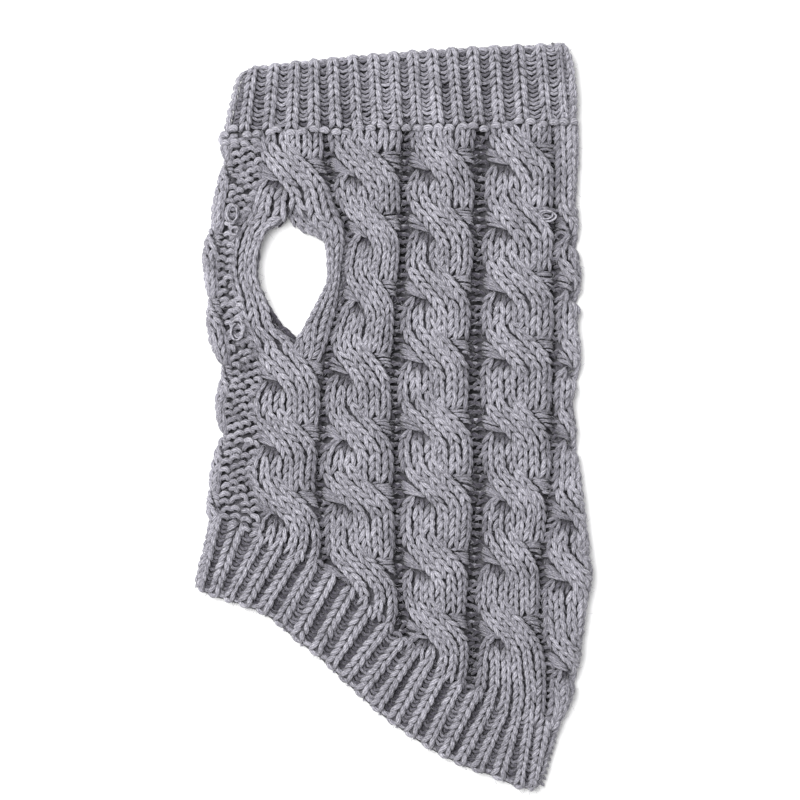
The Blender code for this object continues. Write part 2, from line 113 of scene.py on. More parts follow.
HEM = (
    # rib,  seam_x, seam_y,  edge_x, edge_y
    (0.0,  -91.8,  -49.5,  -100.4,  -85.5),
    (1.0,  -82.5,  -52.5,   -92.8,  -89.0),
    (2.2,  -68.5,  -60.0,   -84.2,  -92.0),
    (3.6,  -56.0,  -66.0,   -73.2,  -95.4),
    (4.9,  -44.0,  -71.5,   -61.8, -100.4),
    (6.6,  -29.0,  -80.5,   -46.8, -112.8),
    (7.9,  -16.8,  -90.5,   -35.2, -121.8),
    (10.0,   0.8, -109.8,   -20.2, -135.8),
    (12.2,  15.8, -121.8,    -2.2, -151.8),
    (14.9,  36.8, -136.5,    21.2, -167.8),
    (16.9,  53.2, -145.0,    37.2, -175.8),
    (18.2,  61.8, -148.5,    50.2, -180.4),
    (19.5,  69.8, -151.2,    64.2, -186.3),
    (20.6,  78.0, -153.8,    71.8, -187.2),
    (21.2,  85.8, -156.5,    76.8, -185.4),
)
CROSSINGS = {          # each cable's, by their heights
    "fold_left": (123, 88, 53, 20, -14, -43),
    "hole": (124, 23, -10, -44),
    "second": (126, 95, 62, 26, -7, -39, -77),
    "third": (128, 98, 65, 33, -2, -35, -72, -105),
    "fourth": (131, 99, 67, 34, -3, -37, -69, -106),
    "fold_right": (95, 68, 29, -7, -47, -77, -122),
}
CABLE_SIDES = {"second": ("d12", "d23"), "third": ("d23", "d34"), "fourth": ("d34", "c5")}
SQUEEZE_HALF = 15.0    # a crossing draws its cable in over this length either side
FOLD_HEIGHT = 4.6      # height of the folds above the surface
FOLD_IN = 6.4          # from a fold in to where the near layer lies flat
FOLD_TURN = 5.6        # radius of the cloth round a fold
UNDER_YARN = 1.65      # lowest line of yarn on the underside
CLOTH_THICK = 1.1
CLOTH_DROP = 3.4       # how deep the ground lies under the tops of the stitches
CLOTH_ROWS = 120
COLUMN_ENDS = (144.0, -100.0)     # a first guess, moved onto the slanting seams in so many tries
COLUMN_TRIES = 12
FOLD_COLUMNS = (-4.0, -1.0, 2.0, 5.0, 8.0)      # how far outside a fold's line each column lies
CABLE_COLUMNS = (0.0, 0.08, 0.25, 0.5, 0.75, 0.92, 1.0)         # in shares of a cable's width
FOLD_TOP = 8.4         # tops of the stitches on the folds,
FOLD_SIDE_TOP = 8.0    # beside the left one,
BAND_TOP = 9.4         # on the purl band
BAND_SIDE_TOPS = (7.4, 7.2)       # and at its left and right side,
STRAND_TOP = 8.7       # on the two strands that the leg hole parts,
STRAND_DOME = 4.0      # and how fast they fall off to their sides,
RIM_TOP = 8.0          # on the leg hole's rim,
CABLE_SIDE_TOP = 6.2   # at a cable's sides,
CABLE_DOME = 3.0       # how far its middle stands above them,
CROSS_SIDE_RISE = 0.8  # how far a crossing lifts them,
CROSS_DOME_FALL = 1.9  # and how much it takes off the middle's height above them,
DITCH_TOP = 6.4        # and in the ditches
LAST_DITCH_TOPS = (7.0, 7.8)      # the last one is shallower
CABLE_INSET = 1.3      # from the lines beside a cable in to its sides,
STRAND_INSET = 0.6     # and the same for a strand beside the leg hole
STRAND_COLUMNS = ((0.06, 0.3, 0.6, 0.9), (0.1, 0.4, 0.7, 0.94))     # on the hole's left and right
STRAND_OUT = 1.2       # from the leg hole's edge to the strand,
RIM_OUT = 2.0          # to the columns of its rim,
FAR_RIM_OUT = 1.5      # and to those of the far layer
FAR_COLUMNS = ((0.92, 0.75, 0.6, 0.45), (0.6, 0.25))     # of the far layer, right and left of the hole
MID_HEIGHT = 3.0       # between the upper layer and the lower one
HOLE_SPARE = 0.6       # the ground is cut away this far past the edge of the leg hole


def eased(rows, keys, column):
    """A table's column at these keys, on a smooth curve through its rows."""
    table = np.array(sorted(rows))
    place, value = table[:, 0], table[:, column]
    slope = np.empty_like(value)
    slope[1:-1] = (value[2:] - value[:-2]) / (place[2:] - place[:-2])
    slope[0] = (value[1] - value[0]) / (place[1] - place[0])
    slope[-1] = (value[-1] - value[-2]) / (place[-1] - place[-2])
    keys = np.clip(keys, place[0], place[-1])
    i = np.clip(np.searchsorted(place, keys) - 1, 0, len(place) - 2)
    step = place[i + 1] - place[i]
    t = (keys - place[i]) / step
    blend = t * t * (3 - 2 * t)
    bend = t * (1 - t) * ((1 - t) * slope[i] - t * slope[i + 1])
    return value[i] + (value[i + 1] - value[i]) * blend + step * bend


def line_x(name, y):
    return eased(LINES, y, 1 + LINE_NAMES.index(name))


def hem_point(rib, along):
    """Point on the hem: along is 0 at the seam and 1 at the free edge. It goes on past the folds."""
    past = rib - np.clip(rib, 0, HEM[-1][0])
    seam_x, seam_y, edge_x, edge_y = [eased(HEM, rib, 1 + k) for k in range(4)]
    return seam_x + (edge_x - seam_x) * along + past * RIB_PITCH, seam_y + (edge_y - seam_y) * along


RIB_SCALE = np.linspace(0, HEM[-1][0], 600)
SEAM_X, SEAM_Y = hem_point(RIB_SCALE, 0.0)


def hem_seam_y(x):
    return np.interp(x, SEAM_X, SEAM_Y)


def collar_seam_y(x):
    _, left_x, left_y, right_x, right_y = COLLAR[-1]
    return left_y + (right_y - left_y) * (x - left_x) / (right_x - left_x)


def slit_x(name, y):
    """Edge of the leg hole's slit. Past its ends it closes and eases over to the middle of its cable."""
    def middle(at):
        return 0.5 * (line_x("c1", at) + line_x("d12", at))

    inside = eased(HOLE, y, 1 + HOLE_NAMES.index(name))
    high, low = HOLE[0], HOLE[-1]
    above = middle(y) + (high[1] - middle(high[0])) * np.clip(1 - (y - high[0]) / SLIT_EASE, 0, 1)
    below = middle(y) + (low[1] - middle(low[0])) * np.clip(1 - (low[0] - y) / SLIT_EASE, 0, 1)
    return np.where(y > high[0], above, np.where(y < low[0], below, inside))


def arch(part):
    """A smooth rise and fall: 1 at 0, and nothing past -1 and 1."""
    return np.cos(0.5 * math.pi * np.clip(part, -1, 1))


def squeeze(name, y):
    """How far a cable is drawn in: 1 at its crossings and 0 halfway between them."""
    return np.clip(sum(arch((middle - y) / SQUEEZE_HALF) ** 2 for middle in CROSSINGS[name]), 0, 1)


def drape(x, y, height, left, right):
    """Lays points of the unrolled cloth on the flattened tube: past a fold they go round it and under."""
    past_left = (left + FOLD_IN - x) / FOLD_TURN
    past_right = (x - right + FOLD_IN) / FOLD_TURN
    turn = np.maximum(np.maximum(past_left, past_right), 0)
    side = np.where(past_left > past_right, -1.0, 1.0)
    bend = np.minimum(turn, math.pi)
    reach = height - FOLD_HEIGHT
    start = np.where(side < 0, left + FOLD_IN, right - FOLD_IN)
    round_x = start + side * (reach * np.sin(bend) - (turn - bend) * FOLD_TURN)
    z = np.maximum(FOLD_HEIGHT + reach * np.cos(bend), UNDER_YARN)
    points = np.stack([np.where(turn > 0, round_x, x), y, z], -1)
    up = np.stack([side * np.sin(bend), np.zeros_like(x), np.cos(bend)], -1)
    return points, up


def column_y(place):
    """Heights of a column's points, from the collar seam down to the hem seam."""
    top, bottom = COLUMN_ENDS
    for _ in range(COLUMN_TRIES):
        top = collar_seam_y(place(np.array(top)))
        bottom = 0.5 * bottom + 0.5 * hem_seam_y(place(np.array(bottom)))
    return top + (bottom - top) * np.linspace(0, 1, CLOTH_ROWS)


def body_ground():
    """Columns of the tube's ground, all round it: each is a row of points from collar to hem."""
    columns = []

    def near(place, height):
        y = column_y(place)
        x = place(y)
        level = height(y) if callable(height) else height
        points, _ = drape(x, y, level - CLOTH_DROP, line_x("left", y), line_x("right", y))
        columns.append(points)

    def between(left, right, share, inset=0.0):
        return lambda y: (left(y) + inset) * (1 - share) + (right(y) - inset) * share

    def line(name, out=0.0):
        return lambda y: line_x(name, y) + out

    def far(place):
        y = column_y(place)
        columns.append(np.stack([place(y), y, UNDER_YARN + 0 * y], -1))

    def slit(name, out):
        def place(y):
            open_now = (y < HOLE[0][0]) & (y > HOLE[-1][0])
            return slit_x(name, y) + np.where(open_now, out, 0)
        return place

    def strand(left, right, shares):
        for share in shares:
            near(between(left, right, share, STRAND_INSET), STRAND_TOP - STRAND_DOME * (share - 0.5) ** 2)

    for out in reversed(FOLD_COLUMNS):
        near(line("left", -out), FOLD_TOP)
    near(line("c0", -1.0), FOLD_SIDE_TOP)
    near(line("c0"), BAND_SIDE_TOPS[0])
    near(between(line("c0"), line("c1"), 0.5), BAND_TOP)
    near(line("c1"), BAND_SIDE_TOPS[1])
    strand(line("c1"), slit("near_l", -STRAND_OUT), STRAND_COLUMNS[0])
    near(slit("near_l", -RIM_OUT), RIM_TOP)
    near(slit("near_r", RIM_OUT), RIM_TOP)
    strand(slit("near_r", STRAND_OUT), line("d12"), STRAND_COLUMNS[1])
    for name, (left, right) in CABLE_SIDES.items():
        near(line(left), DITCH_TOP)
        for share in CABLE_COLUMNS:
            dome = math.sqrt(1 - (2 * share - 1) ** 2)
            near(between(line(left), line(right), share, CABLE_INSET),
                 lambda y, n=name, d=dome: CABLE_SIDE_TOP + CABLE_DOME * d
                 + (CROSS_SIDE_RISE - CROSS_DOME_FALL * d) * squeeze(n, y))
    near(line("c5"), LAST_DITCH_TOPS[0])
    near(line("c5", 1.2), LAST_DITCH_TOPS[1])
    for out in FOLD_COLUMNS:
        near(line("right", out), FOLD_TOP)
    for share in FAR_COLUMNS[0]:
        far(between(slit("far_r", RIM_OUT), line("right"), share))
    far(slit("far_r", FAR_RIM_OUT))
    far(slit("far_l", -FAR_RIM_OUT))
    for share in FAR_COLUMNS[1]:
        far(between(line("left"), slit("far_l", -RIM_OUT), share))
    return columns + columns[:1]


def linear(hex_colour):
    """An sRGB colour such as 8a8890, as the linear numbers that a shader takes."""
    parts = [int(hex_colour[k:k + 2], 16) / 255 for k in (0, 2, 4)]
    return [c / 12.92 if c < 0.04045 else ((c + 0.055) / 1.055) ** 2.4 for c in parts] + [1.0]


def add(tree, kind, inputs=None, **settings):
    """Adds a shader node of this kind. inputs holds values or other nodes' sockets, by the input's name
    or number."""
    made = tree.nodes.new("ShaderNode" + kind)
    for key, value in settings.items():
        setattr(made, key, value)
    for key, value in (inputs or {}).items():
        if isinstance(value, bpy.types.NodeSocket):
            tree.links.new(value, made.inputs[key])
        else:
            made.inputs[key].default_value = value
    return made


def new_material(name, values):
    """A material with its tree and shader, and the shader's values by the names of its inputs."""
    material = bpy.data.materials.new(name)
    material.use_nodes = True
    shader = material.node_tree.nodes["Principled BSDF"]
    for key, value in values.items():
        shader.inputs[key].default_value = value
    return material, material.node_tree, shader


GROUND_FIBRE = 2 / 3   # grain of its fibres, drawn far coarser than real ones, which are too fine to show
GROUND_DARK = 3.2      # no light reaches the ground below this height,
GROUND_PALE = 5.6      # and it is at its palest above this one


def ground_cloth():
    """Plain knit of heathered acrylic, seen only between the stitches: soft, matt and in painted shade."""
    material, tree, shader = new_material("acrylic_knit_ground_painted_shade", {"Roughness": 0.95, "Sheen Weight": 0.1})
    place = add(tree, "TexCoord").outputs["Object"]
    # a wave texture of scale 1 has a little over three waves to a unit, so that here one wave is one row
    rows = add(tree, "TexWave", {"Vector": place, "Scale": 1 / (3.14 * ROW * MM), "Distortion": 2.5,
                                 "Detail": 2.0}, bands_direction="Y")
    fibre = add(tree, "TexNoise", {"Vector": place, "Scale": 1 / (GROUND_FIBRE * MM), "Detail": 3.0})
    above = add(tree, "SeparateXYZ", {0: place}).outputs["Z"]
    raised = add(tree, "MapRange", {"Value": above, "From Min": GROUND_DARK * MM,
                                    "From Max": GROUND_PALE * MM})
    # painted shade: the ground is coloured dark grey, and darker the lower it lies
    shade = add(tree, "Mix", {0: raised.outputs[0], 6: linear("1d1c20"), 7: linear("737178")},
                data_type="RGBA")
    tree.links.new(shade.outputs[2], shader.inputs["Base Color"])
    height = add(tree, "Math", {0: rows.outputs["Fac"], 1: fibre.outputs["Fac"]}, operation="ADD")
    bump = add(tree, "Bump", {"Height": height.outputs[0], "Strength": 1.0, "Distance": 1.0 * MM})
    tree.links.new(bump.outputs["Normal"], shader.inputs["Normal"])
    return material


def cloth_from(name, columns):
    """A knitted tube: a grid bent to these columns, the last lying on the first."""
    rows = len(columns[0])
    bpy.ops.mesh.primitive_grid_add(x_subdivisions=len(columns) - 1, y_subdivisions=rows - 1)
    cloth = bpy.context.object
    cloth.name = cloth.data.name = name
    spots = np.array(columns).transpose(1, 0, 2)[::-1] * MM
    cloth.data.vertices.foreach_set("co", spots.reshape(-1))
    cloth.data.update()
    return cloth


def finish_cloth(cloth):
    """Merges the grid's edges and gives the cloth its thickness, inwards."""
    bpy.ops.object.mode_set(mode="EDIT")
    bpy.ops.mesh.select_all(action="SELECT")
    bpy.ops.mesh.remove_doubles(threshold=0.05 * MM)
    bpy.ops.mesh.normals_make_consistent(inside=False)
    bpy.ops.object.mode_set(mode="OBJECT")
    wall = cloth.modifiers.new("wall", "SOLIDIFY")
    wall.thickness = CLOTH_THICK * MM
    wall.offset = -1
    bpy.ops.object.modifier_apply(modifier="wall")
    bpy.ops.object.shade_smooth()
    cloth.data.materials.append(GROUND)
    cloth.select_set(False)


GROUND = ground_cloth()
body_cloth = cloth_from("body_cloth", body_ground())
bpy.ops.object.mode_set(mode="EDIT")
bpy.ops.mesh.select_all(action="DESELECT")
bpy.ops.object.mode_set(mode="OBJECT")
for panel in body_cloth.data.polygons:
    spot = panel.center / MM
    edges = ("near_l", "near_r") if spot.z > MID_HEIGHT else ("far_l", "far_r")
    low, high = [float(slit_x(edge, np.array(spot.y))) for edge in edges]
    panel.select = HOLE[-1][0] < spot.y < HOLE[0][0] and low - HOLE_SPARE < spot.x < high + HOLE_SPARE
bpy.ops.object.mode_set(mode="EDIT")
bpy.ops.mesh.delete(type="FACE")
bpy.ops.object.mode_set(mode="OBJECT")
finish_cloth(body_cloth)
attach(body_cloth, "root")
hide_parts("body_near", "body_far")


# ---- Yarn ------------------------------------------------------------------------------------------
# Every stitch is a bent length of the same aran-weight yarn: grey heather acrylic, three plies loosely
# twisted, soft and slightly fuzzy. One length is modelled once and each stitch is a copy of it.
YARN = 1.28            # radius of the yarn in a stitch
FIBRE_SPREAD = 300     # the fibres of each length are taken from anywhere in so much of the pattern
BAKE_MARGIN = 0.04     # of the room that each length has on a baked texture
STATIONS = 9           # places along a length of yarn where it can bend
SMALL_STATIONS = 7     # the same for the short bows between the wales
PLAIN_STATIONS = 6     # and for the stitches underneath
HAIR_STATIONS = 4      # and for the loose fibres
LEG = (
    # q,   down,   across, height, thickness   (rows, wale widths, mm, shares of the yarn's radius)
    (0.00, -0.84,  0.080,  -1.50,  0.25),
    (0.12, -0.68,  0.095,  -0.80,  0.52),
    (0.25, -0.46,  0.140,  -0.20,  0.82),
    (0.45, -0.12,  0.220,   0.15,  1.03),
    (0.62,  0.16,  0.290,   0.10,  1.03),
    (0.78,  0.44,  0.345,  -0.35,  0.86),
    (0.90,  0.66,  0.375,  -0.95,  0.58),
    (1.00,  0.84,  0.380,  -1.60,  0.28),
)
BUMP = (
    # q,   across, down,   height, thickness   (spans, rows, mm, shares of the yarn's radius)
    (0.00, -0.56,   0.26,  -1.60,  0.40),
    (0.16, -0.43,   0.12,  -0.65,  0.80),
    (0.50,  0.00,  -0.18,   0.00,  1.00),
    (0.84,  0.43,   0.12,  -0.65,  0.80),
    (1.00,  0.56,   0.26,  -1.60,  0.40),
)


def yarn_length(sides, stations):
    """One length of yarn, round and closed at both ends: its mesh, as each point's station and turn."""
    bpy.ops.mesh.primitive_uv_sphere_add(segments=sides, ring_count=stations - 1, calc_uvs=True)
    yarn = bpy.context.object
    mesh = yarn.data
    spots = np.array([v.co for v in mesh.vertices])
    station = np.rint(np.arccos(np.clip(spots[:, 2], -1, 1)) / math.pi * (stations - 1)).astype(int)
    turn = spots[:, :2] / np.maximum(np.hypot(spots[:, 0], spots[:, 1]), 1e-9)[:, None]
    turn[(station == 0) | (station == stations - 1)] = 0
    shape = {
        "station": station,
        "turn": turn,
        "corners": np.array([loop.vertex_index for loop in mesh.loops]),
        "sizes": np.array([face.loop_total for face in mesh.polygons]),
        "uv": np.array([loop.uv for loop in mesh.uv_layers.active.data]),
    }
    bpy.data.objects.remove(yarn)
    return shape


YARN_FINE = yarn_length(7, STATIONS)
YARN_SMALL = yarn_length(6, SMALL_STATIONS)
YARN_PLAIN = yarn_length(5, PLAIN_STATIONS)
YARN_HAIR = yarn_length(3, HAIR_STATIONS)


def unit(vectors):
    return vectors / np.maximum(np.linalg.norm(vectors, axis=-1, keepdims=True), 1e-12)


def lay_yarn(name, runs, material, yarn, seed):
    """Joins many lengths of yarn into one piece. Each run holds its points, up directions and radii in mm,
    and the share of the light that reaches them."""
    points, up, radius, light = [np.concatenate(part) for part in zip(*runs)]
    count = len(points)
    ahead = unit(np.gradient(points, axis=1))
    side = unit(np.cross(ahead, up))
    out = np.cross(side, ahead)
    at, turn = yarn["station"], yarn["turn"]
    skin = side[:, at] * turn[:, 0, None] + out[:, at] * turn[:, 1, None]
    spots = (points[:, at] + radius[:, at, None] * skin) * MM
    corners, sizes = yarn["corners"], yarn["sizes"]
    mesh = bpy.data.meshes.new(name)
    mesh.vertices.add(count * len(at))
    mesh.vertices.foreach_set("co", spots.reshape(-1))
    mesh.loops.add(count * len(corners))
    mesh.loops.foreach_set("vertex_index", (corners + np.arange(count)[:, None] * len(at)).reshape(-1))
    mesh.polygons.add(count * len(sizes))
    every_size = np.tile(sizes, count)
    mesh.polygons.foreach_set("loop_start", np.concatenate(([0], np.cumsum(every_size)[:-1])))
    mesh.polygons.foreach_set("loop_total", every_size)
    draw = np.random.RandomState(seed)
    length = np.linalg.norm(np.diff(points, axis=1), axis=2).sum(1)
    girth = 2 * math.pi * radius.max(1)
    uv = np.broadcast_to(yarn["uv"], (count, *yarn["uv"].shape))
    fibre = uv * np.stack([girth, length], -1)[:, None] + draw.uniform(0, FIBRE_SPREAD, (count, 1, 2))
    cells = math.ceil(math.sqrt(count))
    cell = np.stack([np.arange(count) % cells, np.arange(count) // cells], -1)[:, None]
    own = (cell + BAKE_MARGIN + (1 - 2 * BAKE_MARGIN) * uv) / cells
    for layer, value in (("yarn", fibre), ("OFBake", own)):
        mesh.uv_layers.new(name=layer).data.foreach_set("uv", value.astype(np.float32).reshape(-1))
    for layer, value in (("tone", np.repeat(draw.uniform(0, 1, count), len(at))), ("light", light[:, at])):
        attribute = mesh.attributes.new(layer, "FLOAT", "POINT")
        attribute.data.foreach_set("value", value.astype(np.float32).reshape(-1))
    mesh.update(calc_edges=True)
    mesh.shade_smooth()
    mesh.materials.append(material)
    piece = bpy.data.objects.new(name, mesh)
    bpy.context.scene.collection.objects.link(piece)
    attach(piece, "root")
    return piece


HEATHER = (
    # share, colour   (from the dark fibres to the pale ones)
    (0.375, "545259"),
    (0.490, "9f9da5"),
    (0.615, "d8d6de"),
)
DEEP_SHADE = "76727b"   # painted shade, down between the stitches
GROOVE_SHADE = "d2d2d8"            # painted shade in the grooves between the plies
NO_TINT = "ffffff"
PLY = 1.5              # from groove to groove between the plies, round the yarn
PLY_SLANT = 20         # of the twisted plies, in degrees
WAVE = 0.314           # a wave texture of scale 1 repeats after this length
STREAK = (0.5, 4 / 3)  # a streak of like fibres, across and along, drawn coarser than real ones are
PATCH = 100 / 7        # from a paler place of the sweater to a darker one


def heather_yarn():
    """Grey heather acrylic yarn: pale and dark fibres mixed, in three plies, with a soft dull sheen. Down
    between the stitches its colour is painted darker, as painted shade where the fuzz of the yarns above
    keeps the light out, and the grooves between the plies get painted shade too."""
    material, tree, shader = new_material("heather_acrylic_yarn", {
        "Roughness": 0.85, "Specular IOR Level": 0.25, "Sheen Weight": 0.25, "Sheen Roughness": 0.6})
    run = add(tree, "UVMap", uv_map="yarn").outputs["UV"]
    twist = add(tree, "Mapping", {"Vector": run, "Rotation": (0, 0, math.radians(PLY_SLANT))})
    streak = add(tree, "Mapping", {"Vector": twist.outputs[0], "Scale": (1 / STREAK[0], 1 / STREAK[1], 1)})
    fibres = add(tree, "TexNoise", {"Vector": streak.outputs[0], "Scale": 1.0, "Detail": 4.0,
                                    "Roughness": 0.75})
    plies = add(tree, "TexWave", {"Vector": twist.outputs[0], "Scale": WAVE / PLY, "Distortion": 2.6,
                                  "Detail": 2.0}, bands_direction="X")
    tone = add(tree, "Attribute", attribute_name="tone").outputs["Fac"]
    place = add(tree, "TexCoord").outputs["Object"]
    patches = add(tree, "TexNoise", {"Vector": place, "Scale": 1 / (PATCH * MM), "Detail": 2.0})
    mixed = add(tree, "Math", {0: fibres.outputs["Fac"], 1: 0.7, 2: 0.05}, operation="MULTIPLY_ADD")
    toned = add(tree, "Math", {0: tone, 1: 0.05, 2: mixed.outputs[0]}, operation="MULTIPLY_ADD")
    drift = add(tree, "Math", {0: patches.outputs["Fac"], 1: 0.12, 2: toned.outputs[0]},
                operation="MULTIPLY_ADD")
    colours = add(tree, "ValToRGB", {"Fac": drift.outputs[0]})
    stops = colours.color_ramp.elements
    stops.new(HEATHER[1][0])
    for k, (share, heather) in enumerate(HEATHER):
        stops[k].position = share
        stops[k].color = linear(heather)
    light = add(tree, "Attribute", attribute_name="light").outputs["Fac"]
    # painted shade: a darker colour down between the stitches, where the light attribute is low
    shaded = add(tree, "Mix", {0: light, 6: linear(DEEP_SHADE), 7: linear(NO_TINT)}, data_type="RGBA")
    # painted shade: a darker colour in the grooves between the plies
    painted_groove_shade = add(tree, "Mix", {0: plies.outputs["Fac"], 6: linear(GROOVE_SHADE), 7: linear(NO_TINT)},
                  data_type="RGBA")
    colour = colours.outputs["Color"]
    for tint in (shaded, painted_groove_shade):
        colour = add(tree, "Mix", {0: 1.0, 6: colour, 7: tint.outputs[2]}, data_type="RGBA",
                     blend_type="MULTIPLY").outputs[2]
    tree.links.new(colour, shader.inputs["Base Color"])
    relief = add(tree, "Math", {0: fibres.outputs["Fac"], 1: 0.7, 2: plies.outputs["Fac"]},
                 operation="MULTIPLY_ADD")
    bump = add(tree, "Bump", {"Height": relief.outputs[0], "Strength": 0.6, "Distance": 0.5 * MM})
    tree.links.new(bump.outputs["Normal"], shader.inputs["Normal"])
    return material


YARN_GREY = heather_yarn()


def stations_of(table, stations):
    """The table's columns at the stations of a length of yarn."""
    share = np.linspace(0, 1, stations)
    return [eased(table, share, k) for k in range(1, len(table[0]))]


def run_of(x, y):
    """How far along a line each of its points lies."""
    return np.concatenate(([0.0], np.cumsum(np.hypot(np.diff(x), np.diff(y)))))


def stitch_places(x, y, marks, pitch):
    """Where the stitches of a wale lie: each stretch between two marks has a whole number of rows."""
    run = run_of(x, y)
    stops = [mark for mark in marks if y[-1] + pitch < mark < y[0] - pitch]
    stops = [y[0], *stops, y[-1]]
    at, step = [], []
    for high, low in zip(stops[:-1], stops[1:]):
        start, stop = np.interp([-high, -low], -y, run)
        count = max(1, round((high - low) / pitch))
        at.append(start + (stop - start) * (np.arange(count) + 0.5) / count)
        step.append(np.full(count, (stop - start) / count))
    return run, np.concatenate(at), np.concatenate(step)


YARN_WALE = 6.0        # a wale of this width has yarn of the full thickness,
YARN_RANGE = (0.78, 1.08)         # and a narrower or wider one thinner or thicker yarn, in shares of it
TURNED = 0.07          # how unevenly the stitches lie: their heading, in radians,
WIDER = 0.05           # width and thickness,
LONGER = 0.06          # length,
SHIFTED = 0.16         # and place and height, in mm


def knit_wale(x, y, top, edge_drop, width, marks, pitch, draw, keep=None, yarn=STATIONS, lean=0.0,
              parted=0.0, stretch=1.0):
    """Knit stitches down a wale, two legs each, as points of the unrolled cloth and radii."""
    run, at, step = stitch_places(x, y, marks, pitch)
    if keep is not None:
        kept = np.interp(at, run, keep.astype(float)) > 0.5
        at, step = at[kept], step[kept]
    down, across, height, thick = stations_of(LEG, yarn)
    heading = unit(np.stack([np.gradient(x, run), np.gradient(y, run)], -1))
    here = [np.interp(at, run, values + 0 * x) for values in
            (x, y, *heading.T, top, np.gradient(top + 0 * x, run), edge_drop, width, lean)]
    cx, cy, hx, hy, crest, slope, drop, wide, tilt = [value[:, None, None] for value in here]
    count = len(at)
    swing = draw.normal(0, TURNED, (count, 1, 1))
    hx, hy = hx * np.cos(swing) - hy * np.sin(swing), hx * np.sin(swing) + hy * np.cos(swing)
    wide = wide * (1 + draw.normal(0, WIDER, (count, 1, 1)))
    side = np.array([-1.0, 1.0])[None, :, None]
    slack = 1 + draw.normal(0, LONGER, (count, 2, 1))
    forward = stretch * down * step[:, None, None] * slack + draw.normal(0, SHIFTED, (count, 2, 1))
    share = side * (across + parted)
    px = cx - share * wide * hy + forward * hx
    py = cy + share * wide * hx + forward * hy
    loft = draw.normal(0, SHIFTED, (count, 2, 1))
    pz = crest + slope * forward - drop * (2 * share) ** 2 + tilt * share * wide + height + loft - YARN
    size = YARN * np.clip(wide / YARN_WALE, *YARN_RANGE) * thick
    size = size * (1 + draw.normal(0, WIDER, (count, 2, 1)))
    shape = (count * 2, yarn)
    return px.reshape(shape), py.reshape(shape), pz.reshape(shape), (size + 0 * px).reshape(shape)


BUMP_WIDER = 0.07      # how unevenly the purl bumps lie: their width,
BUMP_TURNED = 0.10     # heading, in radians,
BUMP_SHIFTED = 0.15    # and height, in mm


def purl_bumps(x, y, top, span, angle, draw, size=0.85, yarn=STATIONS, rows=ROW, bow=1.0, table=BUMP):
    """Purl bumps: short bows of yarn lying across the cloth. A negative bow hangs down."""
    across, down, height, thick = stations_of(table, yarn)
    span = (span * (1 + draw.normal(0, BUMP_WIDER, len(x))))[:, None]
    angle = (angle + draw.normal(0, BUMP_TURNED, len(x)))[:, None]
    cast = across * span
    fall = -bow * down * rows + 0 * cast
    px = x[:, None] + cast * np.cos(angle) - fall * np.sin(angle)
    py = y[:, None] + cast * np.sin(angle) + fall * np.cos(angle)
    pz = (top + draw.normal(0, BUMP_SHIFTED, len(x)))[:, None] + height - YARN * size
    return px, py, pz, YARN * size * thick + 0 * px


SAG_UNEVEN = 0.35
TUCK = 1.5             # how deep the ends of a stretched strand are tucked in,
TUCK_THIN = 0.5        # and how much thinner they are there


def strands(ends, tops, sag, size, draw):
    """Stretched lengths of yarn from place to place, tucked in at both ends."""
    share = np.linspace(0, 1, SMALL_STATIONS)
    x1, y1, x2, y2 = [value[:, None] for value in np.array(ends, float).T]
    sag = np.reshape(sag + draw.normal(0, SAG_UNEVEN, len(x1)), (-1, 1))
    px = x1 + (x2 - x1) * share
    py = y1 + (y2 - y1) * share + sag * np.sin(math.pi * share)
    top1, top2 = [np.reshape(top + draw.normal(0, BUMP_SHIFTED, len(x1)), (-1, 1)) for top in tops]
    tucked = np.abs(2 * share - 1) ** 3
    pz = top1 + (top2 - top1) * share - YARN * size - TUCK * tucked
    thick = 1 - TUCK_THIN * tucked
    return px, py, pz, YARN * size * thick + 0 * px


BODY_LIGHT = (4.5, 9.7)           # between these heights the stitches come out of the dark


def light_at(height, low, high):
    """Share of the light that reaches this height between the stitches."""
    share = np.clip((height - low) / (high - low), 0, 1)
    return share * share * (3 - 2 * share)


def on_body(px, py, pz, radius):
    points, up = drape(px, py, pz, line_x("left", py), line_x("right", py))
    return points, up, radius, light_at(pz, *BODY_LIGHT)


# ---- Rope cables -----------------------------------------------------------------------------------
# Six knit wales each, crossed three over three every eight rows or so, the left strand always in front.
# One cable lies on each fold, and one opens round the leg hole.
CROSS_HALF = 12.5      # half the length of a crossing, for the strand in front
BACK_HALF = 9.0        # the strand behind turns more sharply, out of sight
BACK_HIDDEN = np.array((6.3, 4.3))   # it can't be seen this near above and below the crossing's middle,
BACK_EDGE_HIDDEN = 0.4 # nor its outermost wale this much further below
UNDER_EDGES = (0.03, 0.47)           # nor between these shares of the width, under the strand in front
CROSS_SKEW = 2.4       # the strand's outer wales cross this much lower and higher than its middle one
CABLE_WIDTH = 34.0     # of a cable that lies round a fold
FRONT_TOP = 12.9       # of the strand in front, at the crossing's middle,
FRONT_DOME = 0.8       # how much lower its outer wales are there
FRONT_TILT = 1.6       # and how much they lean outwards
BACK_TOP = 8.8         # of the strand behind, where it dives, above the crossing's middle
BACK_DIP = (8.8, 4.2, 1.2)           # and of its three wales, from the left, where they come out below it
BACK_RISE = np.array((9.0, 13.2))    # the lengths over which it dives, and comes up again
BOW_SIDE = 6.6         # height of a cable's sides where its strands lie parallel
BOW_RISE = 4.9         # and how far its middle bows up
LOBE_SWELL = 1.05      # how much wider than its room a cable is between two crossings
CROSS_SQUEEZE = 0.13   # how much narrower it is at a crossing
CROSS_SHIFT = 0.025    # and how far, as a share of its width, it is pulled to the right there
DITCH_HALF = {"d12": 1.5, "d23": 2.1, "d34": 3.0, "c5": 1.1}   # half the width of each ditch
BAND_IN = 0.9          # from the purl band's side to the cable beside it
EDGE_DROP = 0.15       # how far a stitch's sides drop
HEM_LAP = 0.8          # how far the wales go on past the hem's seam
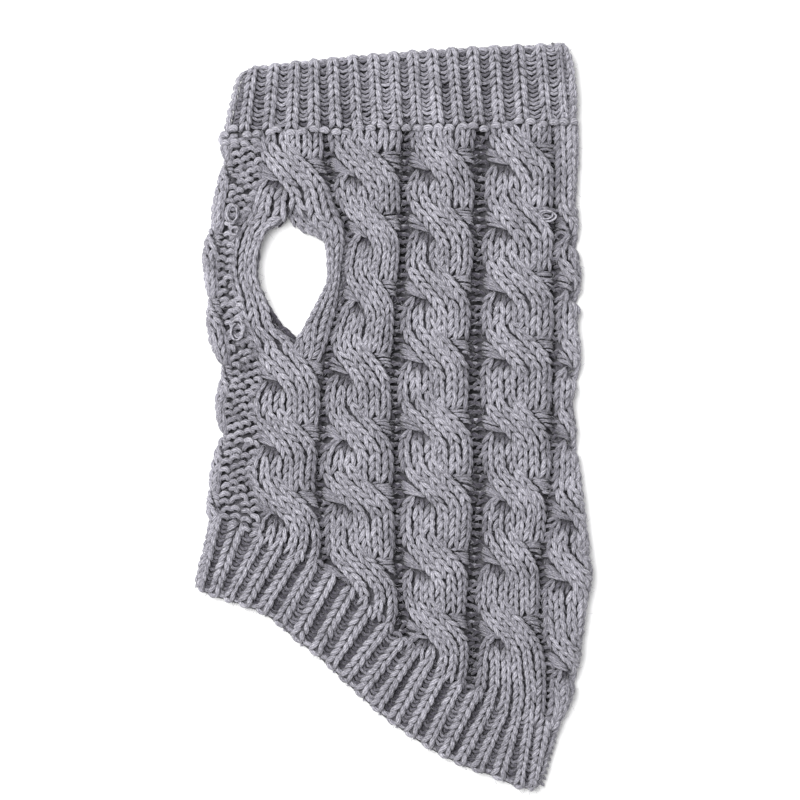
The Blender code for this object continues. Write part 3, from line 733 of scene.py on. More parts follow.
WANDER = 0.22          # a wale wanders this far to the side, in waves of three lengths
WANDER_LENGTHS = (5.0, 9.0, 15.0)
HEM_FLOW = 16.0        # height above the hem's seam from which the wales bend over
ROLL_LENGTH = 9.0      # the leg hole's edge rolls in over this length at each end
SCAN = np.arange(150.0, -162.0, -0.5)


def parted_place(left_in, layer):
    """Where a share of the width of the cable round the leg hole lies: one strand on each side of it."""
    def place(t, y):
        left, right = line_x("c1", y) + left_in, line_x("d12", y) - DITCH_HALF["d12"]
        low, high = slit_x(layer + "_l", y), slit_x(layer + "_r", y)
        return np.where(t < 0.5, left + (low - left) * 2 * t, high + (right - high) * (2 * t - 1))

    return place


def cable_width_place(name):
    """Where a share of the cable's width lies, across the unrolled cloth."""
    if name == "fold_left":
        return lambda t, y: line_x("c0", y) - BAND_IN - CABLE_WIDTH * (1 - t)
    if name == "fold_right":
        return lambda t, y: line_x("c5", y) + DITCH_HALF["c5"] + CABLE_WIDTH * t
    if name == "hole":
        return parted_place(BAND_IN, "near")
    left, right = CABLE_SIDES[name]

    def place(t, y):
        low, high = line_x(left, y) + DITCH_HALF[left], line_x(right, y) - DITCH_HALF[right]
        return low + (high - low) * t

    return place


def smooth_step(part):
    """From 0, at -1 and before it, to 1, at 1 and past it."""
    return 0.5 + 0.5 * np.sin(0.5 * math.pi * np.clip(part, -1, 1))


def cable_bow(share):
    """Height of the cloth across a cable whose strands lie parallel."""
    return BOW_SIDE + BOW_RISE * np.sqrt(np.clip(1 - (2 * share - 1) ** 2, 0, 1))


def cable_wales(name):
    """The six wales of a cable: share of its width, top, lean, pull of its crossings, whether it shows, and
    heights of its crossings."""
    y = SCAN
    for start in range(6):
        share = np.full_like(y, (start + 0.5) / 6)
        cross_top, deep, crown, pull = [np.zeros_like(y) for _ in range(4)]
        shows = np.full(y.shape, True)
        spot, marks = start, []
        for middle in CROSSINGS[name]:
            front = spot < 3
            rank = spot % 3 - 1
            centre = middle + (CROSS_SKEW * rank if front else 0)
            over = smooth_step((centre - y) / (CROSS_HALF if front else BACK_HALF))
            share += 0.5 * over if front else -0.5 * over
            below = (y < centre).astype(int)
            reach = CROSS_HALF if front else BACK_RISE[below]
            depth = arch((centre - y) / reach)
            back_top = np.where(below, BACK_DIP[rank + 1], BACK_TOP)
            cross_top += depth * (FRONT_TOP - FRONT_DOME * rank ** 2 if front else back_top)
            deep += depth
            if front:
                crown += depth * rank
                pull += depth
            else:
                low, high = [edge + 0.5 * smooth_step((middle + skew - y) / CROSS_HALF)
                             for edge, skew in zip(UNDER_EDGES, (-CROSS_SKEW, CROSS_SKEW))]
                under = (np.abs(y - middle) < CROSS_HALF) & (share > low) & (share < high)
                outermost = BACK_EDGE_HIDDEN * (rank == -1) * (y < middle)
                shows &= ~under & (np.abs(y - middle) > BACK_HIDDEN[below] + outermost)
            marks.append(centre)
            spot += 3 if front else -3
        top = cable_bow(share) * (1 - deep) + cross_top
        bow = (cable_bow(share + 0.05) - cable_bow(share - 0.05)) / 0.6      # from side to side of a wale
        tilt = bow * (1 - deep) - FRONT_TILT * crown
        pinch = squeeze(name, y)
        placed = 0.5 + (share - 0.5) * (LOBE_SWELL - CROSS_SQUEEZE * pinch) + CROSS_SHIFT * pinch
        yield placed, top, tilt, pull, shows, marks


def flow_to_hem(x, y):
    """Near the hem the wales bend over into its slanted ribs."""
    rib = np.interp(x, SEAM_X, RIB_SCALE)
    low, high = hem_point(rib, 1.0), hem_point(rib, 0.0)
    lean = (high[0] - low[0]) / (high[1] - low[1])
    gap = np.clip(HEM_FLOW - (y - hem_seam_y(x)), 0, HEM_FLOW)
    return x - lean * gap ** 2 / (2 * HEM_FLOW)


def within_seams(x, y, collar_margin, hem_margin):
    return (y < collar_seam_y(x) - collar_margin) & (y > hem_seam_y(x) + hem_margin)


def roll_in(share, shows):
    """Right of the leg hole the strand's inner wale rolls in under the edge. The other two fill its place,
    and each is half as wide again."""
    opened = np.clip(np.minimum(HOLE[0][0] - SCAN, SCAN - HOLE[-1][0]) / ROLL_LENGTH, 0, 1)
    right = share > 0.5
    inner = right & (share < 0.68)
    outward = 0.5 + (share - 2 / 3) * 1.5
    share = np.where(right & ~inner, share + (outward - share) * opened, share)
    return share, shows & ~(inner & (opened > 0.4)), np.where(right, 1 + 0.5 * opened, 1)


def cable_runs(name, place, lay, draw, yarn=STATIONS):
    """Every stitch of a cable's six wales."""
    runs = []
    for share, top, tilt, pull, shows, marks in cable_wales(name):
        drift = sum(WANDER * np.sin(SCAN / reach + draw.uniform(0, 6.3)) for reach in WANDER_LENGTHS)
        wider = 1.0
        if name == "hole":
            share, shows, wider = roll_in(share, shows)
        x = flow_to_hem(place(share, SCAN) + drift, SCAN)
        width = np.abs(place(share + 1 / 12, SCAN) - place(share - 1 / 12, SCAN))
        if name == "hole":
            strand = np.abs(place(np.where(share < 0.5, 0.499, 0.999), SCAN)
                            - place(np.where(share < 0.5, 0.001, 0.501), SCAN))
            width = np.minimum(width, strand / 3) * wider
        inside = within_seams(x, SCAN, 0.0, -HEM_LAP)
        slope = np.gradient(x, SCAN)
        width = (width + np.abs(slope) * CROSS_SKEW * pull) / np.hypot(1, slope)
        x, y, top, width, lean, shows = [values[inside] for values in
                                         (x, SCAN, top, width, tilt / width, shows)]
        runs.append(lay(*knit_wale(x, y, top, EDGE_DROP, width, marks, ROW, draw, shows, yarn, lean)))
    return runs


cables = []
for k, name in enumerate(CROSSINGS):
    stitches = cable_runs(name, cable_width_place(name), on_body, np.random.RandomState(11 + k))
    cables.append(lay_yarn("cable_" + name, stitches, YARN_GREY, YARN_FINE, 11 + k))

RIGHT_FAN = (
    # share of width, above the crossing, share of width, above the crossing
    (0.70,  5.4,  0.94,   6.6),
    (0.72,  4.9,  0.98,   5.4),
    (0.74,  4.2,  1.00,   4.3),
    (0.76,  3.5,  1.01,   3.1),
    (0.79,  2.7,  1.02,   1.9),
    (0.82,  1.8,  1.02,   0.6),
    (0.85,  0.8,  1.02,  -0.7),
    (0.89, -0.4,  1.03,  -2.1),
)
LEFT_FAN = (
    # share of width, above the crossing, share of width, above the crossing
    (0.02,   3.3,  0.18,   0.0),
    (0.00,   2.3,  0.22,  -1.2),
    (-0.01,  1.2,  0.26,  -2.3),
    (-0.01,  0.0,  0.30,  -3.4),
    (0.00,  -1.2,  0.34,  -4.4),
    (0.01,  -2.4,  0.38,  -5.4),
)
FANS = (
    # strands, tops of their two ends, thinnest, thickest
    (RIGHT_FAN, (9.6, 7.6), 0.42, 0.66),
    (LEFT_FAN,  (8.2, 9.2), 0.52, 0.80),
)
FAN_UNEVEN = 0.45
FAN_SAG = 0.3


def fan_runs():
    """Where a strand dives under the other, the ditch's own stitches are dragged out beside it."""
    draw = np.random.RandomState(21)
    runs = []
    for name, crossings in CROSSINGS.items():
        place = cable_width_place(name)
        for centre in crossings:
            for fan, tops, thin, thick in FANS:
                t1, y1, t2, y2 = np.array(fan).T
                y1, y2 = [centre + y + draw.normal(0, FAN_UNEVEN, len(y)) for y in (y1, y2)]
                x1, x2 = place(t1, y1), place(t2, y2)
                inside = within_seams(x1, y1, 1.5, 0) & within_seams(x2, y2, 1.5, 0)
                ends = np.stack([flow_to_hem(x1, y1), y1, flow_to_hem(x2, y2), y2], -1)[inside]
                size = draw.uniform(thin, thick, (len(ends), 1))
                runs.append(on_body(*strands(ends, tops, FAN_SAG, size, draw)))
    return runs


cable_fans = lay_yarn("cable_fans", fan_runs(), YARN_GREY, YARN_SMALL, 22)


# ---- Purl ditches ----------------------------------------------------------------------------------
# Between the cables the tube is purl: its bumps lie across, deep between the cables, and form a band
# of four purl wales beside the left fold.
PURL_ROWS = np.arange(148.0, -158.0, -ROW)
DITCH_TOPS = {                        # height of each ditch's bumps, and the cable on its right
    "d12": (7.4, "second"),
    "d23": (7.3, "third"),
    "d34": (7.3, "fourth"),
    "c5": (8.3, "fold_right"),
}
DITCH_COLUMNS = (
    # from the ditch's line, lower, up
    (-6.6, 1.6,  1.2),
    (-2.3, 0.8,  0.3),
    (2.3,  0.0, -0.3),
    (6.6,  1.2,  0.9),
)
DITCH_SINK = 1.3       # how much deeper the ditches are beside their cables' crossings
DITCH_SPAN = 5.6       # how wide a bump lies in them
DITCH_LOOSE = 0.45
DITCH_SIZE = 0.82      # thickness of its yarn
HOLE_CLEAR = 4.0       # from the leg hole's edge to the nearest bump
BAND_COLUMNS = 4
BAND_UNDER = 4.0       # how far the band goes on under the cable beside it
BAND_BUMP_TOP = 9.9
BAND_BUMPS = 3.5       # the band is so many bumps wide,
BAND_SPANS = (4.2, 5.8)           # but none is narrower or wider than this
BAND_STEP = 1.4        # each column of it lies this much higher than the one on its left
BAND_LOOSE = 0.4
BAND_SIZE = 1.15
BAND_FULL = 9.5        # where the band is narrower than this, only every other column has room


def ditch_runs():
    draw = np.random.RandomState(31)
    runs = []

    def column(place, top, span, up, loose, room, size):
        y = PURL_ROWS + up
        x = place(y)
        inside = within_seams(x, y, 1.0, -1.0) & room(x, y)
        x, y = x[inside], y[inside]
        bent = flow_to_hem(x, y)
        runs.append(on_body(*purl_bumps(bent + draw.normal(0, loose, len(y)),
                                        y + draw.normal(0, loose, len(y)),
                                        top(y) + draw.normal(0, loose, len(y)), span(y),
                                        draw.normal(0, 0.6 * loose, len(y)), draw, size, SMALL_STATIONS)))

    def clear_of_hole(x, y):
        return (x > slit_x("near_r", y) + HOLE_CLEAR) | (y > HOLE[0][0]) | (y < HOLE[-1][0])

    for name, (top, cable) in DITCH_TOPS.items():
        for out, lower, up in DITCH_COLUMNS:
            column(lambda y, n=name, d=out: line_x(n, y) + d,
                   lambda y, h=top - lower, n=cable: h - DITCH_SINK * squeeze(n, y),
                   lambda y: DITCH_SPAN, up, DITCH_LOOSE, clear_of_hole, DITCH_SIZE)

    def band_width(y):
        return line_x("c1", y) - line_x("c0", y) + BAND_UNDER

    def band_span(y):
        return np.clip(band_width(y) / BAND_BUMPS, *BAND_SPANS)

    for k in range(BAND_COLUMNS):
        def band(y, share=(k + 0.5) / BAND_COLUMNS):
            return line_x("c0", y) + band_width(y) * share

        def room(x, y, odd=k % 2 == 1):
            return band_width(y) > (BAND_FULL if odd else 0.0)

        column(band, lambda y: BAND_BUMP_TOP, band_span, BAND_STEP * k, BAND_LOOSE, room, BAND_SIZE)
    return runs


purl_ditches = lay_yarn("purl_ditches", ditch_runs(), YARN_GREY, YARN_SMALL, 32)


# ---- Leg hole's edge -------------------------------------------------------------------------------
# The slit's edges are plain knit that rolls in on itself. Where the upper layer is pulled further open
# the lower layer's edge shows beside it.
RIM_LIGHT = {"near_l": 0.85, "near_r": 0.85, "far_l": 0.0, "far_r": 0.8}    # share that reaches each
RIM_EDGE_DROP = 0.6    # how far the sides of these stitches drop
RIM_WALES = (
    # edge,    out, top, width
    ("near_l", -2.8, 7.9, 4.4),
    ("near_l", -3.0, 5.8, 4.4),
    ("near_r",  2.8, 7.9, 4.4),
    ("near_r",  3.0, 5.8, 4.4),
    ("far_l",  -2.7, 4.6, 4.6),
    ("far_l",  -7.0, 4.8, 4.8),
    ("far_r",   2.7, 5.6, 4.6),
    ("far_r",   7.0, 5.8, 4.8),
    ("far_r",  11.4, 5.6, 4.8),
)


def lit(run, share):
    """The same lengths of yarn, with this share of the light on all of them."""
    points, up, radius, _ = run
    return points, up, radius, np.full_like(radius, share)


def rim_runs():
    draw = np.random.RandomState(35)
    y = np.linspace(HOLE[0][0] - 0.5, HOLE[-1][0] + 0.5, 140)
    runs = []
    for edge, out, top, width in RIM_WALES:
        x = slit_x(edge, y) + out
        wale = knit_wale(x, y, top, RIM_EDGE_DROP, width, (), ROW, draw)
        runs.append(lit(on_body(*wale), RIM_LIGHT[edge]))
    return runs


hole_edge = lay_yarn("hole_edge", rim_runs(), YARN_GREY, YARN_FINE, 36)


# ---- Pulled loops ----------------------------------------------------------------------------------
# Snags, three beside the left fold and one near the right, where a few plies of yarn are pulled out into
# loose loops.
SNAGS = (
    # x,    y,     wide, high, turns
    (-79.3, 100.8, 3.6,  6.0,  4),
    (-76.8,  43.3, 3.8,  6.0,  4),
    (-78.0,  92.0, 2.8,  3.0,  2),
    (77.9,   99.9, 5.4,  3.4,  3),
)
SNAG_TOP = 10.6        # height of the lowest loop,
SNAG_RISE = 1.2        # how far it rises and falls as it goes round,
SNAG_STEP = 0.5        # and how much higher the next one lies, and how far it is turned, in radians
SNAG_TIGHT = 0.8       # the loops' size, as a share of the table's
SNAG_YARN = 0.48       # radius of a ply


def snag_runs():
    draw = np.random.RandomState(37)
    share = np.linspace(0, 1, STATIONS)
    runs = []
    for x, y, wide, high, turns in SNAGS:
        for turn in range(turns):
            swell, tip = 1 + draw.normal(0, 0.13), draw.normal(0, 0.5, 2)
            for half in range(2):
                angle = math.pi * (half + share) + SNAG_STEP * turn
                points = np.stack([x + tip[0] + wide * swell * np.cos(angle) * SNAG_TIGHT,
                                   y + tip[1] + high * swell * np.sin(angle) * SNAG_TIGHT,
                                   SNAG_TOP + SNAG_RISE * np.sin(angle + turn) + SNAG_STEP * turn], -1)
                runs.append((points[None], np.tile([0.0, 0.0, 1.0], (1, STATIONS, 1)),
                             np.full((1, STATIONS), SNAG_YARN), np.ones((1, STATIONS))))
    return runs


pulled_loops = lay_yarn("pulled_loops", snag_runs(), YARN_GREY, YARN_FINE, 38)


# ---- Collar ----------------------------------------------------------------------------------------
# A band of single rib knitted on at the neck, ten rows of it: narrow knit wales standing up, with a
# sunk purl wale between two. Its free edge is the cast-on edge.
COLLAR_CROWN = 2.6     # how far the free edge bows up between the folds
COLLAR_RIBS = (
    # rib, edge_x, seam_x
    (-1,   -76.5,  -86.0),
    (0,    -68.3,  -73.5),
    (2,    -47.8,  -49.6),
    (4,    -29.3,  -27.2),
    (6,     -9.0,   -6.2),
    (8,     11.0,   13.6),
    (10,    30.3,   34.6),
    (12,    51.8,   54.6),
    (14,    75.0,   78.6),
    (15,    84.0,   87.5),
    (16,    89.5,   94.5),
    (17,    96.5,  103.0),
)
COLLAR_LIGHT = (4.5, 7.7)
COLLAR_SHARE = 0.61    # of a rib's width that its knit wale takes
COLLAR_DITCH = 7.5     # tops of the sunk wales
COLLAR_CURL = 2.6      # how far the free edge rolls down,
CURL_REACH = 0.04      # and over what share of the band
COLLAR_STRETCH = 0.86  # length of a stitch, as a share of the row's
COLLAR_CENTRES = np.arange(-1, 17)
COLLAR_REACH = np.linspace(0.035, 0.965, 160)
RIB_TOP = 10.2
RIB_ROW = 3.7
RIB_DROP = 1.5         # how far a rib's sides drop
RIB_GROUND = 4.9       # height of the ground under the ribs, at its mean,
RIB_SWELL = 1.3        # and how far it rises and falls with them
GROUND_REACH = np.linspace(0, 1, 160)[::6]
FAR_RIBS = np.linspace(0.88, 0.10, 20)       # the far layer's columns, in shares of the ribs
RUNG_APART = 0.6       # in rows
RUNG_RISE = 2.4        # how much further up the wale its ends lie than its middle
RUNG_WIDE = 1.5        # in halves of a rib
RUNG_SIZE = 0.68       # thickness of its yarn,
RUNG_THIN = 0.35       # how much thinner its ends are,
RUNG_TUCK = 0.5        # and how much deeper they lie
RUNG_HIGHER = 0.3      # a whole wale of them lies this much higher than its ditch,
RUNG_LOWER = 1.1       # less anything up to this
EDGE_LOOPS = (
    # offset in ribs, top, share of the ribs' pitch
    (0.0, 8.4, 0.52),
    (0.5, 7.2, 0.50),
)
EDGE_SECOND = 1.5      # a second loop lies this far under each
BEAD = (
    # q,   across, down,   height, thickness   (spans, rows, mm, shares of the yarn's radius)
    (0.00, -0.56,   0.20,  -1.00,  0.55),
    (0.20, -0.40,   0.08,  -0.30,  0.92),
    (0.50,  0.00,  -0.10,   0.00,  1.05),
    (0.80,  0.40,   0.08,  -0.30,  0.92),
    (1.00,  0.56,   0.20,  -1.00,  0.55),
)
BEAD_BOW = 0.8
BEAD_PLACES = np.arange(-84.0, 93.0, 5.7)
BEAD_TOP = 12.2
BEAD_SPAN = 3.5
BEAD_SIZE = 1.36
LOW_BEAD_PLACES = np.arange(-83.0, -64.0, 5.2)
LOW_BEAD_DOWN = 4.0    # how far below the seam the second row lies
LOW_BEAD_TOP = 10.4
LOW_BEAD_SPAN = 3.4
LOW_BEAD_SIZE = 1.25
COLLAR_COLUMNS = np.linspace(-1.0, 17.0, 109)
COLLAR_EDGE = 0.03     # place of the cast-on edge's loops, as a share of the band,
COLLAR_TUCK = 0.022    # and how much further in the loops over the purl wales lie
EDGE_BOW = 0.6


def collar_point(rib, along):
    """Point on the collar: along is 0 at the free edge and 1 at the seam."""
    left_x, left_y, right_x, right_y = [eased(COLLAR, along, 1 + k) for k in range(4)]
    x = eased(COLLAR_RIBS, rib, 1) * (1 - along) + eased(COLLAR_RIBS, rib, 2) * along
    across = (x - left_x) / (right_x - left_x)
    crown = COLLAR_CROWN * (1 - along) * np.sin(math.pi * np.clip(across, 0, 1)) ** 0.7
    return x, left_y + (right_y - left_y) * across + crown


def on_collar(px, py, pz, radius):
    left = eased([(-y, x) for _, x, y, _, _ in COLLAR], -py, 1)
    right = eased([(-y, x) for _, _, _, x, y in COLLAR], -py, 1)
    points, up = drape(px, py, pz, left, right)
    return points, up, radius, light_at(pz, *COLLAR_LIGHT)


def ladder(x, y, top, span, slope, draw):
    """Rungs of a sunk purl wale: lengths of yarn that sag across it to a point, row under row."""
    share = np.linspace(-1, 1, SMALL_STATIONS)
    cast = 0.5 * span[:, None] * share
    rise = RUNG_RISE * (np.abs(share) ** 1.3 - 0.4) * (1 + draw.normal(0, 0.3, (len(x), 1)))
    slope = (slope + draw.normal(0, BUMP_TURNED, len(x)))[:, None]
    px = x[:, None] + cast * np.cos(slope) - rise * np.sin(slope)
    py = y[:, None] + cast * np.sin(slope) + rise * np.cos(slope)
    pz = (top + draw.normal(0, 0.4, len(x)))[:, None] - YARN * RUNG_SIZE - RUNG_TUCK * share ** 2
    return px, py, pz, YARN * RUNG_SIZE * (1 - RUNG_THIN * share ** 4) + 0 * px


def rib_runs(centres, point, reach, place, draw, rim, sunk, taken, stretch):
    """Knit wales of a rib band, and the purl wales between them, from its upper end to its lower."""
    wales, ditches = [], []
    for centre in centres:
        x, y = point(centre, reach)
        x2, y2 = point(centre + 0.5, reach)
        heading = unit(np.stack([np.gradient(x), np.gradient(y)], -1))
        half = np.abs((x2 - x) * heading[:, 1] - (y2 - y) * heading[:, 0])
        width = 2 * half * taken * (1 + draw.normal(0, WIDER))
        top = RIB_TOP - rim(reach)
        wales.append(place(*knit_wale(x, y, top, RIB_DROP, width, (), RIB_ROW, draw, parted=0.01,
                                      stretch=stretch)))
        run = run_of(x2, y2)
        spot = np.arange(RIB_ROW * 0.4, run[-1], RIB_ROW * RUNG_APART)
        bx, by, deep, wide = [np.interp(spot, run, v) for v in (x2, y2, rim(reach), half)]
        slope = np.interp(spot, run, np.arctan2(heading[:, 0], -heading[:, 1]))
        lift = RUNG_HIGHER - RUNG_LOWER * draw.uniform() ** 2
        ditches.append(place(*ladder(bx, by, sunk + lift - deep, RUNG_WIDE * wide, slope, draw)))
    return wales, ditches


def edge_runs(centres, point, along, tuck, place, bow, draw):
    """The loops of a cast-on or cast-off edge: one over each knit wale and, tucked in, one over each purl
    wale."""
    runs = []
    for offset, top, share in EDGE_LOOPS:
        reach = along + 2 * offset * tuck
        x, y = point(centres + offset, reach)
        x1, y1 = point(centres + offset - 0.5, reach)
        x2, y2 = point(centres + offset + 0.5, reach)
        pitch = np.hypot(x2 - x1, y2 - y1)
        slope = np.arctan2(y2 - y1, x2 - x1)
        for deeper in (0, EDGE_SECOND):
            loops = purl_bumps(x, y, top - deeper, share * pitch, slope, draw, 1.0, rows=RIB_ROW, bow=bow)
            runs.append(lit(place(*loops), 1.0))
    return runs


def collar_rim(along):
    """The free edge rolls down a little."""
    return COLLAR_CURL * np.exp(-along / CURL_REACH)


def band_ground(point, place, ribs, phase, rim):
    """Columns of a ribbed band's ground, all round it, raised a little under each knit wale."""
    columns = []
    for rib in ribs:
        x, y = point(rib, GROUND_REACH)
        top = RIB_GROUND + RIB_SWELL * math.cos(2 * math.pi * (rib - phase))
        columns.append(place(x, y, top - rim(GROUND_REACH), 0 * x)[0])
    for share in FAR_RIBS:
        x, y = point(ribs[0] + (ribs[-1] - ribs[0]) * share, GROUND_REACH)
        columns.append(np.stack([x, y, UNDER_YARN + 0 * x], -1))
    return columns + columns[:1]


def seam_runs(draw):
    """Where the collar meets the body one row of purl stands up as a line of beads. A short second row
    lies below its left end."""
    x = BEAD_PLACES + draw.normal(0, 0.5, len(BEAD_PLACES))
    y = collar_seam_y(x) + draw.normal(0, 0.9, len(x))
    high = purl_bumps(x, y, BEAD_TOP, BEAD_SPAN, 0, draw, BEAD_SIZE, bow=BEAD_BOW, table=BEAD)
    x = LOW_BEAD_PLACES
    y = collar_seam_y(x) - LOW_BEAD_DOWN + draw.normal(0, 0.5, len(x))
    low = purl_bumps(x, y, LOW_BEAD_TOP, LOW_BEAD_SPAN, 0, draw, LOW_BEAD_SIZE, bow=BEAD_BOW, table=BEAD)
    return [on_body(*high), on_body(*low)]


draw_collar = np.random.RandomState(41)
collar_wales, collar_bumps = rib_runs(COLLAR_CENTRES, collar_point, COLLAR_REACH, on_collar, draw_collar,
                                      collar_rim, COLLAR_DITCH, COLLAR_SHARE, COLLAR_STRETCH)
collar_wales += edge_runs(COLLAR_CENTRES, collar_point, COLLAR_EDGE, COLLAR_TUCK, on_collar, EDGE_BOW,
                          draw_collar)
collar_ribs = lay_yarn("collar_ribs", collar_wales, YARN_GREY, YARN_FINE, 42)
collar_ditches = lay_yarn("collar_ditches", collar_bumps, YARN_GREY, YARN_SMALL, 44)
seam_beads = lay_yarn("seam_beads", seam_runs(draw_collar), YARN_GREY, YARN_FINE, 43)
collar_cloth = cloth_from("collar_cloth", band_ground(collar_point, on_collar, COLLAR_COLUMNS, 0.0,
                                                      collar_rim))
finish_cloth(collar_cloth)
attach(collar_cloth, "root")
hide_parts("collar")


# ---- Hem band --------------------------------------------------------------------------------------
# The same single rib along the slanted lower edge. Its ribs go on from the cables' wales, leaning
# with the slant, and end in a cast-off edge that curls down a little.
HEM_PHASE = 0.5        # its knit wales lie between the ribs of the table
HEM_LIGHT = (5.3, 8.8)
HEM_SHARE = 0.66
HEM_DITCH = 7.3        # the collar is stretched flatter
HEM_CURL = 2.4
HEM_CENTRES = np.arange(-1, 22) + HEM_PHASE
HEM_REACH = np.linspace(-0.03, 0.95, 160)
HEM_EDGE = 0.975
HEM_TUCK = -0.045
HEM_COLUMNS = np.linspace(-1.0, 22.2, 140)
JOIN_RIBS = np.arange(0.2, 21.2, 0.5)
JOIN_ALONG = -0.07     # a row of purl lies just above the hem's seam, where it joins the body
JOIN_TOP = 8.4
JOIN_SPAN = 5.4
JOIN_SIZE = 0.95


def on_hem(px, py, pz, radius):
    left_x, left_y, edge_x, edge_y = HEM[0][1:]
    left = left_x + (edge_x - left_x) * np.clip((left_y - py) / (left_y - edge_y), 0, 1)
    right_x, right_y, tip_x, tip_y = HEM[-1][1:]
    right = right_x + (tip_x - right_x) * np.clip((right_y - py) / (right_y - tip_y), 0, 1)
    points, up = drape(px, py, pz, left, right)
    return points, up, radius, light_at(pz, *HEM_LIGHT)


def hem_rim(along):
    return HEM_CURL * np.exp((along - 1) / CURL_REACH)


draw_hem = np.random.RandomState(51)
hem_wales, hem_bumps = rib_runs(HEM_CENTRES, hem_point, HEM_REACH, on_hem, draw_hem, hem_rim, HEM_DITCH,
                                HEM_SHARE, 1.0)
hem_wales += edge_runs(HEM_CENTRES, hem_point, HEM_EDGE, HEM_TUCK, on_hem, -EDGE_BOW, draw_hem)
hem_ribs = lay_yarn("hem_ribs", hem_wales, YARN_GREY, YARN_FINE, 52)
join_x, join_y = hem_point(JOIN_RIBS, JOIN_ALONG)
join_slope = np.arctan2(np.gradient(join_y), np.gradient(join_x))
hem_bumps.append(on_hem(*purl_bumps(join_x, join_y, JOIN_TOP, JOIN_SPAN, join_slope, draw_hem, JOIN_SIZE,
                                    SMALL_STATIONS)))
hem_ditches = lay_yarn("hem_ditches", hem_bumps, YARN_GREY, YARN_SMALL, 53)
hem_cloth = cloth_from("hem_cloth", band_ground(hem_point, on_hem, HEM_COLUMNS, HEM_PHASE, hem_rim))
finish_cloth(hem_cloth)
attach(hem_cloth, "root")
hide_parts("hem")


# ---- Fuzz ------------------------------------------------------------------------------------------
# Soft acrylic yarn has loose fibres that stand off it all over. Each is drawn as one short bent hair,
# several times as thick as a real fibre, which would be too fine to show.
HAIR = 0.10            # radius of a hair at its root
HAIR_LENGTHS = (2.0, 5.0)
HAIR_LIFT = 0.35       # how far it rises off the yarn, as a share of its length,
HAIR_LIFTS = (0.3, 1.4)           # from so many times that to so many
HAIR_BEND = 0.4        # how far it bends to the side, as a share of its length
HAIR_TAPER = 0.6       # how much thinner its tip is
HAIRS_BODY = 8600
HAIRS_BAND = 1800      # on the collar and on the hem
HAIR_FLOOR = 5.5       # no hairs grow lower than this, where they would be in the dark


def fuzz(name, pieces, count, seed):
    """Hairs that grow from random places on the upper sides of these pieces."""
    draw = np.random.RandomState(seed)
    roots, facing = [], []
    for piece in pieces:
        vertices = piece.data.vertices
        spots, normals = np.empty(len(vertices) * 3), np.empty(len(vertices) * 3)
        vertices.foreach_get("co", spots)
        vertices.foreach_get("normal", normals)
        roots.append(spots.reshape(-1, 3) / MM)
        facing.append(normals.reshape(-1, 3))
    roots, facing = np.concatenate(roots), np.concatenate(facing)
    fit = np.flatnonzero((facing[:, 2] > -0.1) & (roots[:, 2] > HAIR_FLOOR))
    pick = draw.choice(fit, count, replace=False)
    root, up = roots[pick], facing[pick]
    along = unit(np.cross(up, draw.normal(0, 1, (count, 3))))
    bent = unit(np.cross(up, along)) * draw.normal(0, HAIR_BEND, (count, 1))
    share = np.linspace(0, 1, HAIR_STATIONS)[None, :, None]
    length = draw.uniform(*HAIR_LENGTHS, (count, 1, 1))
    rise = HAIR_LIFT * draw.uniform(*HAIR_LIFTS, (count, 1, 1)) * np.sin(0.6 * math.pi * share)
    way = along[:, None] * share + bent[:, None] * share ** 2 + up[:, None] * rise
    points = root[:, None] + length * way
    points[..., 2] = np.maximum(points[..., 2], 2 * HAIR)       # it bends up where it meets the floor
    radius = HAIR * (1 - HAIR_TAPER * share[..., 0]) + 0 * points[..., 0]
    hairs = points, np.repeat(up[:, None], HAIR_STATIONS, 1), radius, np.ones_like(radius)
    return lay_yarn(name, [hairs], YARN_GREY, YARN_HAIR, seed)


body_fuzz = fuzz("body_fuzz", [*cables, cable_fans, purl_ditches, hole_edge, seam_beads], HAIRS_BODY, 71)
collar_fuzz = fuzz("collar_fuzz", [collar_ribs, collar_ditches], HAIRS_BAND, 72)
hem_fuzz = fuzz("hem_fuzz", [hem_ribs, hem_ditches], HAIRS_BAND, 73)


# ---- Underside -------------------------------------------------------------------------------------
# The layer that lies on the table is knitted like the upper one, pressed flat: three whole cables and
# the one round the leg hole, with purl between them, and the undersides of the collar and the hem.
UNDER_CREST = 13.0     # the upper layer's highest stitch, which underneath lies lowest
UNDER_FLAT = 0.28      # how much of the relief is left under the weight of the cloth
UNDER_SIZE = 0.90      # thickness of the yarn, pressed flat
UNDER_BAND_IN = 3.0    # from the purl band's side to the cable round the leg hole
UNDER_FOLD_IN = 7.0    # from the right fold's line in to the last cable
UNDER_RIB_TOP = 10.0
UNDER_RIB_DROP = 0.5   # how far a rib's sides drop
UNDER_RIB_SHARE = 0.66            # of a rib's width that its knit wale takes
UNDER_BUMP_TOP = 8.0
UNDER_BUMP_SPAN = 6.4
UNDER_BUMP_SHARE = 0.6            # of a rib's width that a bump takes
UNDER_BUMP_SIZE = 0.9
UNDER_DITCHES = (("c1", -1.0), ("c1", 1.0), ("d12", 0.0), ("d23", 0.0), ("d34", 0.0), ("c5", -7.0))
UNDER_BANDS = (
    # ribs, their form, reach
    (np.arange(0, 16), collar_point, COLLAR_REACH),
    (np.arange(0, 21) + HEM_PHASE, hem_point, HEM_REACH),
)
UNDER_BUMPS = np.linspace(0.04, 0.96, 10)    # places of the bumps of a band's purl wales


def on_underside(px, py, pz, radius):
    z = UNDER_YARN + UNDER_FLAT * np.maximum(UNDER_CREST - YARN - pz, 0)
    points = np.stack([px, py, z], -1)
    return points, np.zeros_like(points) - (0.0, 0.0, 1.0), radius * UNDER_SIZE, np.ones_like(px)


